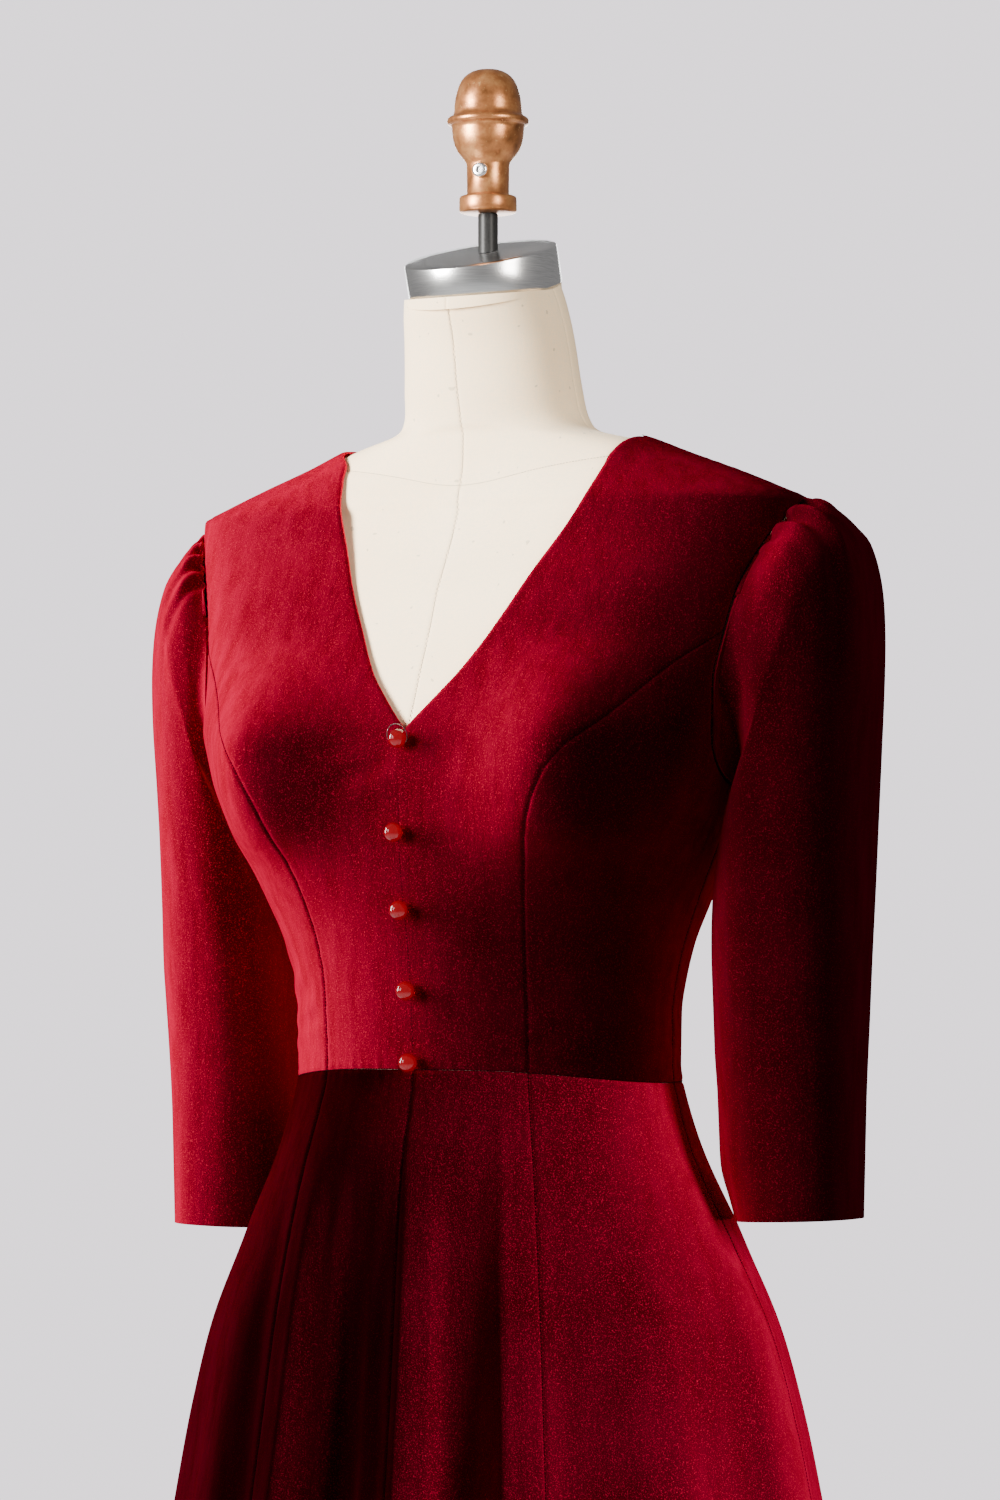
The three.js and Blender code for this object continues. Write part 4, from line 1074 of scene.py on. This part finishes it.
def stitch_tree():
    """Geometry nodes that lay a row of short stitches along a line of edges."""
    tree = bpy.data.node_groups.new("row of stitches", "GeometryNodeTree")
    sockets = {}
    for name, kind in (("Seam line", "Geometry"), ("Stitch step", "Float"), ("Stitch length", "Float"),
                       ("Thread radius", "Float"), ("Thread", "Material")):
        sockets[name] = tree.interface.new_socket(name, in_out="INPUT", socket_type=f"NodeSocket{kind}")
    tree.interface.new_socket("Stitches", in_out="OUTPUT", socket_type="NodeSocketGeometry")
    add, link = tree.nodes.new, tree.links.new
    given, result = add("NodeGroupInput"), add("NodeGroupOutput")
    curve, even = add("GeometryNodeMeshToCurve"), add("GeometryNodeResampleCurve")
    even.mode = "LENGTH"
    link(given.outputs["Seam line"], curve.inputs["Mesh"])
    link(curve.outputs["Curve"], even.inputs["Curve"])
    link(given.outputs["Stitch step"], even.inputs["Length"])
    tangent, aim = add("GeometryNodeInputTangent"), add("FunctionNodeAlignRotationToVector")
    aim.axis = "Z"
    link(tangent.outputs["Tangent"], aim.inputs["Vector"])
    bead = add("GeometryNodeMeshUVSphere")
    bead.inputs["Segments"].default_value = 6
    bead.inputs["Rings"].default_value = 4
    bead.inputs["Radius"].default_value = 1.0
    size = add("ShaderNodeCombineXYZ")
    half = add("ShaderNodeMath")
    half.operation = "DIVIDE"
    half.inputs[1].default_value = 2.0
    link(given.outputs["Stitch length"], half.inputs[0])
    link(given.outputs["Thread radius"], size.inputs["X"])
    link(given.outputs["Thread radius"], size.inputs["Y"])
    link(half.outputs["Value"], size.inputs["Z"])
    place = add("GeometryNodeInstanceOnPoints")
    link(even.outputs["Curve"], place.inputs["Points"])
    link(bead.outputs["Mesh"], place.inputs["Instance"])
    link(aim.outputs["Rotation"], place.inputs["Rotation"])
    link(size.outputs["Vector"], place.inputs["Scale"])
    real, paint = add("GeometryNodeRealizeInstances"), add("GeometryNodeSetMaterial")
    link(place.outputs["Instances"], real.inputs["Geometry"])
    link(real.outputs["Geometry"], paint.inputs["Geometry"])
    link(given.outputs["Thread"], paint.inputs["Material"])
    link(paint.outputs["Geometry"], result.inputs["Stitches"])
    return tree, {name: socket.identifier for name, socket in sockets.items()}


def sew(name, lines, step, length, radius, finish, stitching):
    """A piece made of rows of stitches along lines of points, in millimetres above the waist."""
    tree, sockets = stitching
    points, edges = [], []
    for line in lines:
        first = len(points)
        points += list(line)
        edges += [(first + i, first + i + 1) for i in range(len(line) - 1)]
    mesh = bpy.data.meshes.new(name + "_line")
    mesh.from_pydata(((np.array(points) + [0, 0, WAIST_HEIGHT]) * MM).tolist(), edges, [])
    guide = bpy.data.objects.new(name + "_line", mesh)
    bpy.context.scene.collection.objects.link(guide)
    rows = guide.modifiers.new("rows", "NODES")
    rows.node_group = tree
    rows[sockets["Stitch step"]] = step * MM
    rows[sockets["Stitch length"]] = length * MM
    rows[sockets["Thread radius"]] = radius * MM
    rows[sockets["Thread"]] = finish
    graph = bpy.context.evaluated_depsgraph_get()
    sewn = bpy.data.meshes.new_from_object(guide.evaluated_get(graph))
    bpy.data.objects.remove(guide)
    bpy.data.meshes.remove(mesh)
    sewn.name = name
    sewn.polygons.foreach_set("use_smooth", [True] * len(sewn.polygons))
    piece = bpy.data.objects.new(name, sewn)
    bpy.context.scene.collection.objects.link(piece)
    return piece


def on_body(points, above):
    settled, normal = settle(points.copy())
    return settled + normal * above


def bodice_seam_lines():
    """Every sewn seam of the bodice and the closed centre front, sunk just below the pile."""
    t = np.linspace(0, 1, 90)
    opening = body_point(0 * t, NECKLINE_DEPTH_HEIGHT * t)
    turn = np.linspace(0, 1, 300)
    waist = np.linspace(0, 360, 300)
    lines = [on_body(opening, -0.1)]
    for way in (lambda p: p, mirrored):
        for seam in (princess_seam, side_seam, shoulder_seam):
            lines.append(way(on_body(seam(t), -0.35)))
        lines.append(way(on_body(armhole_place(turn), -0.5)))
    lines.append(body_point(waist, waist_height(waist)) * [0.9965, 0.9965, 1])
    return lines


def skirt_seam_lines():
    lines = []
    for angle in (0, SKIRT_PRINCESS_ANGLE, -SKIRT_PRINCESS_ANGLE, SIDE_SEAM_ANGLE, -SIDE_SEAM_ANGLE):
        height = np.linspace(waist_height(angle) - 1, 2 - SKIRT_LENGTH, 200)
        angles = np.full_like(height, float(angle))
        above = fold_reach(angles, height, SKIRT_RIDGES, RIDGE_GROWTH)[..., None] - 0.35
        lines.append(skirt_point(angles, height) + surface_normal(skirt_point, angles, height) * above)
    return lines


def canvas_seam_lines():
    """The neck's base seam, and the zigzag down the centre front."""
    round_neck = np.linspace(0, 360, 181)
    base = canvas_point(round_neck, neck_seam_height(round_neck), -0.35)
    height = np.arange(120, FORM_TOP - 3, 1.5)
    zigzag = canvas_point(0 * height, height, -0.25)
    zigzag[:, 0] += np.where(np.arange(len(height)) % 2, 0.55, -0.55)
    return [base, zigzag]


def make_loop(name, height, clear):
    """A loop of clear cord that passes round a ball button."""
    at = np.array(0.0), np.array(float(height))
    normal = surface_normal(body_point, *at)
    centre = body_point(*at) + normal * (BUTTON_RADIUS + 0.8)
    reach, thin, steps, sides = BUTTON_RADIUS + 1.0, 0.28, 48, 8
    points, faces = [], []
    for i in range(steps):
        turn = 2 * math.pi * i / steps
        out = np.array([math.cos(turn), -0.25 * math.sin(turn), math.sin(turn)])
        middle = centre + out * reach + [0, 0, 1.6]
        for j in range(sides):
            roll = 2 * math.pi * j / sides
            points.append(middle + thin * (math.cos(roll) * out + math.sin(roll) * np.array([0, 1, 0])))
            faces.append((i * sides + j, i * sides + (j + 1) % sides,
                          (i + 1) % steps * sides + (j + 1) % sides, (i + 1) % steps * sides + j))
    return new_piece(name, points, faces, clear)


# Finishes


class Finish:
    """A material with short calls for adding and joining its nodes."""

    def __init__(self, name):
        self.material = bpy.data.materials.new(name)
        self.material.use_nodes = True
        self.nodes = self.material.node_tree.nodes
        self.links = self.material.node_tree.links
        self.surface = self.nodes["Principled BSDF"]
        self.place = self.nodes.new("ShaderNodeTexCoord").outputs["Object"]

    def set(self, **values):
        for name, value in values.items():
            self.surface.inputs[name.replace("_", " ")].default_value = value

    def join(self, output, socket):
        self.links.new(output, self.surface.inputs[socket])

    def stretched(self, scale):
        mapping = self.nodes.new("ShaderNodeMapping")
        mapping.inputs["Scale"].default_value = scale
        self.links.new(self.place, mapping.inputs["Vector"])
        return mapping.outputs["Vector"]

    def noise(self, scale, detail=2.0, rough=0.5, vector=None):
        node = self.nodes.new("ShaderNodeTexNoise")
        self.links.new(vector or self.place, node.inputs["Vector"])
        node.inputs["Scale"].default_value = scale
        node.inputs["Detail"].default_value = detail
        node.inputs["Roughness"].default_value = rough
        return node.outputs["Fac"]

    def ramp(self, value, stops):
        node = self.nodes.new("ShaderNodeValToRGB")
        self.links.new(value, node.inputs["Fac"])
        elements = node.color_ramp.elements
        while len(elements) < len(stops):
            elements.new(0.5)
        for element, (position, colour) in zip(elements, stops):
            element.position = position
            grey = (colour,) * 3 if isinstance(colour, (int, float)) else colour
            element.color = (*grey, 1)
        return node.outputs["Color"]

    def mix(self, factor, one, other, blend="MIX"):
        node = self.nodes.new("ShaderNodeMix")
        node.data_type = "RGBA"
        node.blend_type = blend
        for index, value in ((0, factor), (6, one), (7, other)):
            if isinstance(value, bpy.types.NodeSocket):
                self.links.new(value, node.inputs[index])
            elif index == 0:
                node.inputs[index].default_value = value
            else:
                node.inputs[index].default_value = (*value, 1)
        return node.outputs[2]

    def spread(self, value, low, high):
        """Turns a value between 0 and 1 into one between low and high."""
        node = self.nodes.new("ShaderNodeMapRange")
        self.links.new(value, node.inputs["Value"])
        node.inputs["To Min"].default_value = low
        node.inputs["To Max"].default_value = high
        return node.outputs["Result"]

    def bump(self, height, strength, distance, under=None):
        node = self.nodes.new("ShaderNodeBump")
        node.inputs["Strength"].default_value = strength
        node.inputs["Distance"].default_value = distance
        self.links.new(height, node.inputs["Height"])
        if under is not None:
            self.links.new(under, node.inputs["Normal"])
        return node.outputs["Normal"]


def velvet_finish():
    """Dense dark pile with the sheen of velvet where it is seen side on, and flecks in its grain. The
    sheen is partly the shader's own and partly painted sheen: the base colour turns from the dark face-on
    pile to bright red as the cloth is seen more side on. The bright flecks are painted glints.
    """
    velvet = Finish("burgundy stretch velvet")
    brushed = velvet.noise(14, 5, 0.65)
    streaks = velvet.noise(34, 4, 0.65, velvet.stretched((3.0, 3.0, 0.6)))
    grain = velvet.noise(1250, 2, 0.75)
    fine = velvet.noise(3000, 1, 0.5)
    # Painted sheen: how side on the cloth is seen mixes the base colour from the dark face-on pile to a
    # bright red.
    side_on = velvet.nodes.new("ShaderNodeLayerWeight")
    side_on.inputs["Blend"].default_value = 0.5
    painted_sheen_share = velvet.ramp(side_on.outputs["Facing"], [(0.06, 0.0), (0.60, 1.0)])
    deep = velvet.ramp(brushed, [(0.35, (0.12, 0.0, 0.007)), (0.65, (0.22, 0.0, 0.016))])
    painted_sheen_colour = velvet.ramp(streaks, [(0.36, (0.50, 0.0, 0.028)), (0.64, (0.76, 0.0, 0.055))])
    pile_with_painted_sheen = velvet.mix(painted_sheen_share, deep, painted_sheen_colour)
    # Painted glints: bright red specks scattered through the grain stand in for the sparkle of the pile.
    painted_glint_flecks = velvet.ramp(grain, [(0.55, 0.0), (0.68, 1.0)])
    velvet.join(velvet.mix(painted_glint_flecks, pile_with_painted_sheen, (0.95, 0.02, 0.07)), "Base Color")
    velvet.join(velvet.spread(streaks, 0.40, 0.62), "Roughness")
    velvet.join(velvet.spread(streaks, 0.25, 0.75), "Sheen Weight")
    pile = velvet.bump(grain, 0.9, 0.0006)
    pile = velvet.bump(fine, 0.5, 0.0003, pile)
    velvet.join(velvet.bump(streaks, 0.25, 0.004, pile), "Normal")
    velvet.set(Specular_IOR_Level=0.0, Sheen_Roughness=0.3, Sheen_Tint=(1.0, 0.0, 0.06, 1))
    return velvet.material


def canvas_finish():
    canvas = Finish("cream canvas")
    warp = canvas.noise(900, 2, 0.5, canvas.stretched((1.0, 1.0, 0.25)))
    weft = canvas.noise(900, 2, 0.5, canvas.stretched((0.3, 0.3, 1.4)))
    age = canvas.noise(9, 4, 0.55)
    colour = canvas.ramp(age, [(0.3, (0.93, 0.70, 0.43)), (0.7, (0.98, 0.78, 0.52))])
    weave = canvas.mix(0.5, warp, weft)
    pins = canvas.noise(260, 0, 0.5)
    holes = canvas.ramp(pins, [(0.82, 0.0), (0.83, 0.5)])
    colour = canvas.mix(canvas.ramp(weave, [(0.3, 0.6), (0.6, 0.0)]), colour, (0.78, 0.66, 0.48))
    canvas.join(canvas.mix(holes, colour, (0.30, 0.25, 0.18)), "Base Color")
    canvas.join(canvas.spread(weave, 0.78, 0.92), "Roughness")
    canvas.join(canvas.bump(weave, 0.35, 0.0003), "Normal")
    canvas.set(Specular_IOR_Level=0.25, Sheen_Weight=0.15, Sheen_Roughness=0.5)
    return canvas.material


def aluminium_finish():
    metal = Finish("brushed aluminium")
    brush = metal.noise(2200, 3, 0.6, metal.stretched((0.03, 0.03, 1.0)))
    soft = metal.noise(20, 3, 0.5)
    metal.join(metal.ramp(brush, [(0.3, 0.62), (0.7, 0.84)]), "Base Color")
    metal.join(metal.spread(soft, 0.16, 0.26), "Roughness")
    metal.join(metal.bump(brush, 0.12, 0.0001), "Normal")
    metal.set(Metallic=1.0, Anisotropic=0.4)
    return metal.material


def copper_finish():
    metal = Finish("worn copper-coloured bronze")
    wear = metal.noise(70, 6, 0.65)
    spots = metal.noise(420, 4, 0.6)
    brown = metal.ramp(
        wear, [(0.3, (0.20, 0.075, 0.025)), (0.5, (0.44, 0.17, 0.06)), (0.72, (0.66, 0.32, 0.12))])
    rubbed = metal.ramp(spots, [(0.62, 0.0), (0.75, 0.7)])
    metal.join(metal.mix(rubbed, brown, (0.75, 0.46, 0.2)), "Base Color")
    metal.join(metal.spread(wear, 0.22, 0.42), "Roughness")
    metal.join(metal.bump(spots, 0.2, 0.0002), "Normal")
    metal.set(Metallic=0.8)
    return metal.material


def black_steel_finish():
    steel = Finish("satin black steel")
    fine = steel.noise(700, 3, 0.6)
    steel.join(steel.ramp(fine, [(0.3, 0.012), (0.7, 0.022)]), "Base Color")
    steel.join(steel.spread(fine, 0.32, 0.46), "Roughness")
    steel.join(steel.bump(fine, 0.08, 0.0001), "Normal")
    steel.set(Specular_IOR_Level=0.15)
    return steel.material


def glass_finish():
    glass = Finish("translucent red glass")
    cloud = glass.noise(260, 2, 0.5)
    glass.join(glass.ramp(cloud, [(0.3, (0.26, 0.0, 0.004)), (0.7, (0.40, 0.0, 0.007))]), "Base Color")
    glass.join(glass.spread(cloud, 0.02, 0.05), "Roughness")
    # Painted glow: red emission, brightest where the ball is seen face on and fading towards its rim,
    # makes it shine as if lit from within.
    rim = glass.nodes.new("ShaderNodeLayerWeight")
    rim.inputs["Blend"].default_value = 0.5
    painted_inner_glow = glass.ramp(rim.outputs["Facing"], [(0.1, (0.70, 0.0, 0.015)), (0.75, (0.08, 0.0, 0.003))])
    glass.join(painted_inner_glow, "Emission Color")
    glass.set(Transmission_Weight=0.5, IOR=1.5, Specular_IOR_Level=0.5, Emission_Strength=0.35)
    return glass.material


def thread_finish(name, dark, light):
    thread = Finish(name)
    twist = thread.noise(3000, 2, 0.5)
    thread.join(thread.ramp(twist, [(0.3, dark), (0.7, light)]), "Base Color")
    thread.join(thread.bump(twist, 0.3, 0.0002), "Normal")
    thread.set(Roughness=0.85, Specular_IOR_Level=0.1)
    return thread.material


def cord_finish():
    cord = Finish("clear nylon cord")
    cloud = cord.noise(900, 2, 0.5)
    cord.join(cord.ramp(cloud, [(0.3, (0.30, 0.26, 0.26)), (0.7, (0.42, 0.37, 0.36))]), "Base Color")
    cord.join(cord.spread(cloud, 0.1, 0.2), "Roughness")
    cord.set(Transmission_Weight=0.6, IOR=1.45)
    return cord.material


# Stage: floor, lights and camera

# Soft lights: place, what they point at, size in metres, power in watts, colour, and what they shine on
WHITE = (1, 1, 1)
LIGHTS = [
    ("bodice key", (-2.8, -0.9, 1.9), (0, 0, 1.1), (0.8, 2.0), 155, (1.0, 0.98, 0.95), "bodice"),
    ("bodice front", (-1.3, -1.9, 1.75), (0, 0, 1.2), (0.8, 1.1), 22, WHITE, "bodice"),
    ("skirt right", (2.5, -0.5, 1.3), (0.1, 0, 0.6), (0.5, 1.2), 52, WHITE, "skirt"),
    ("skirt left edge", (-2.4, 0.9, 1.0), (0, 0, 0.7), (0.6, 1.2), 22, WHITE, "skirt"),
    ("form left", (-1.6, -2.4, 1.9), (0, 0, 1.5), (1.0, 1.6), 540, (1.0, 0.98, 0.94), "form"),
    ("back of the studio", (-1.5, 2.7, 1.5), (0, 0, 1.1), (1.6, 1.8), 90, WHITE, None),
    ("floor", (0, 0, 3.6), (0, 0, 0), (3.0, 3.0), 300, WHITE, "floor"),
    ("form right", (2.6, -1.0, 1.9), (0, 0, 1.5), (0.9, 1.6), 100, (1.0, 0.95, 0.88), "form"),
]


def add_camera():
    """The photograph's view: from the wearer's left front, level with the waist."""
    data = bpy.data.cameras.new("camera")
    data.sensor_width = 36
    data.lens = 36 * 5040 / 1500
    camera = bpy.data.objects.new("camera", data)
    bpy.context.scene.collection.objects.link(camera)
    camera.location = (1.4544, -2.6239, 1.109)
    look = Vector((0.0052, 0.0029, 1.228)) - camera.location
    camera.rotation_euler = look.to_track_quat("-Z", "Y").to_euler()
    bpy.context.scene.camera = camera


def add_area_light(name, location, target, size, power, colour, onto):
    """A soft studio light, shining on all pieces or only on the group given."""
    data = bpy.data.lights.new(name, "AREA")
    data.shape = "RECTANGLE"
    data.size, data.size_y = size
    data.energy = power
    data.color = colour
    light = bpy.data.objects.new(name, data)
    bpy.context.scene.collection.objects.link(light)
    light.location = location
    light.rotation_euler = (Vector(target) - Vector(location)).to_track_quat("-Z", "Y").to_euler()
    if onto is not None:
        light.light_linking.receiver_collection = onto


def light_group(name, pieces):
    group = bpy.data.collections.new(name)
    for piece in pieces:
        group.objects.link(piece)
    return group


def add_stage(dress_pieces, form_pieces):
    paint = Finish("pale floor")
    paint.join(paint.ramp(paint.noise(3, 2, 0.5), [(0.3, 0.70), (0.7, 0.74)]), "Base Color")
    paint.set(Roughness=0.8)
    mesh = bpy.data.meshes.new("studio_floor")
    reach = 4.0
    corners = [(-reach, -reach, 0), (reach, -reach, 0), (reach, reach, 0), (-reach, reach, 0)]
    mesh.from_pydata(corners, [], [(0, 1, 2, 3)])
    mesh.materials.append(paint.material)
    floor = bpy.data.objects.new("studio_floor", mesh)
    bpy.context.scene.collection.objects.link(floor)
    floor.visible_diffuse = False

    world = bpy.data.worlds.new("studio")
    bpy.context.scene.world = world
    world.use_nodes = True
    nodes, links = world.node_tree.nodes, world.node_tree.links
    backdrop = nodes["Background"]
    backdrop.inputs["Color"].default_value = (0.71, 0.66, 0.705, 1)
    backdrop.inputs["Strength"].default_value = 2.5
    fill = nodes.new("ShaderNodeBackground")
    fill.inputs["Color"].default_value = (1.0, 0.98, 0.98, 1)
    fill.inputs["Strength"].default_value = 0.04
    studio = nodes.new("ShaderNodeBackground")
    studio.inputs["Color"].default_value = (1.0, 0.98, 0.98, 1)
    studio.inputs["Strength"].default_value = 0.26
    path = nodes.new("ShaderNodeLightPath")
    shone = nodes.new("ShaderNodeMixShader")
    links.new(path.outputs["Is Glossy Ray"], shone.inputs["Fac"])
    links.new(fill.outputs["Background"], shone.inputs[1])
    links.new(studio.outputs["Background"], shone.inputs[2])
    seen = nodes.new("ShaderNodeMixShader")
    links.new(path.outputs["Is Camera Ray"], seen.inputs["Fac"])
    links.new(shone.outputs["Shader"], seen.inputs[1])
    links.new(backdrop.outputs["Background"], seen.inputs[2])
    links.new(seen.outputs["Shader"], nodes["World Output"].inputs["Surface"])

    bodice = [piece for piece in dress_pieces if "skirt" not in piece.name]
    skirt = [piece for piece in dress_pieces if "skirt" in piece.name]
    groups = {"bodice": bodice, "skirt": skirt, "form": form_pieces, "floor": [floor]}
    groups = {name: light_group(name + " lights", pieces) for name, pieces in groups.items()}
    for name, location, target, size, power, colour, group in LIGHTS:
        add_area_light(name, location, target, size, power, colour, groups.get(group))


def place(piece, slot, node=None):
    """Attaches a piece to the root body, and hides the solid that it stands for. The slot is not used."""
    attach(piece, "root")
    if node:
        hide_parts(node)


add_camera()
velvet = velvet_finish()
canvas = canvas_finish()
aluminium = aluminium_finish()
copper = copper_finish()
black_steel = black_steel_finish()
glass = glass_finish()
# Painted shade: this thread is nearly black, so the rows of stitches along the dress's seams and its
# closed centre front read as dark seam lines. The stitches are real; their near-black colour is painted
# shade.
seam_shade_thread = thread_finish("dark red thread", (0.010, 0.0, 0.001), (0.022, 0.0, 0.002))
grey_thread = thread_finish("grey canvas thread", (0.26, 0.22, 0.17), (0.40, 0.35, 0.28))
clear_cord = cord_finish()

cloth = make_bodice(velvet) + make_skirt(velvet)
cloth.append(make_sleeve("sleeve_left", 0, 0, LEFT_CAP_PLEATS, velvet, False))
cloth.append(make_sleeve(
    "sleeve_right", RIGHT_SLEEVE_EXTRA_DROP, RIGHT_SLEEVE_SAG, RIGHT_CAP_PLEATS, velvet, True))
for piece in cloth:
    # The CAD's own mesh has the node's name already, so Blender adds a number to this one's.
    node = piece.name.split(".")[0]
    piece.name = node + "_cloth"
    place(piece, "velvet", node)
    width, length, area, held, rests_on = CUT_SIZES[node.removesuffix("_left").removesuffix("_right")]

buttons = []
for ball, node in make_buttons(glass):
    place(ball, "button_glass", node)
    buttons.append(ball)

stitching = stitch_tree()
# The dress's rows use the near-black thread, which paints the shade along its seams.
SEWN = (
    ("bodice_seam_stitches", bodice_seam_lines(), 2.0, 1.75, 0.24, seam_shade_thread, "velvet"),
    ("skirt_seam_stitches", skirt_seam_lines(), 2.0, 1.75, 0.22, seam_shade_thread, "velvet"),
    ("canvas_seam_stitches", canvas_seam_lines(), 1.86, 1.6, 0.2, grey_thread, "form_canvas"),
)
sewing = []
for name, lines, step, length, radius, thread, slot in SEWN:
    row = sew(name, lines, step, length, radius, thread, stitching)
    place(row, slot)
    sewing.append(row)
loop = make_loop("top_button_loop", BUTTON_HEIGHTS[0], clear_cord)
place(loop, "button_glass")

torso = make_torso(canvas)
place(torso, "form_canvas", "form_torso")

METAL_SLOTS = {"neck_cap": "cap_aluminium", "finial_screw": "cap_aluminium", "finial": "finial_copper"}
form_pieces = [torso]
for piece, node in make_form_metal(aluminium, copper, black_steel).items():
    place(piece, METAL_SLOTS.get(node, "black_steel"), node)
    form_pieces.append(piece)

add_stage([*cloth, *sewing[:2], *buttons, loop], [*form_pieces, sewing[2]])
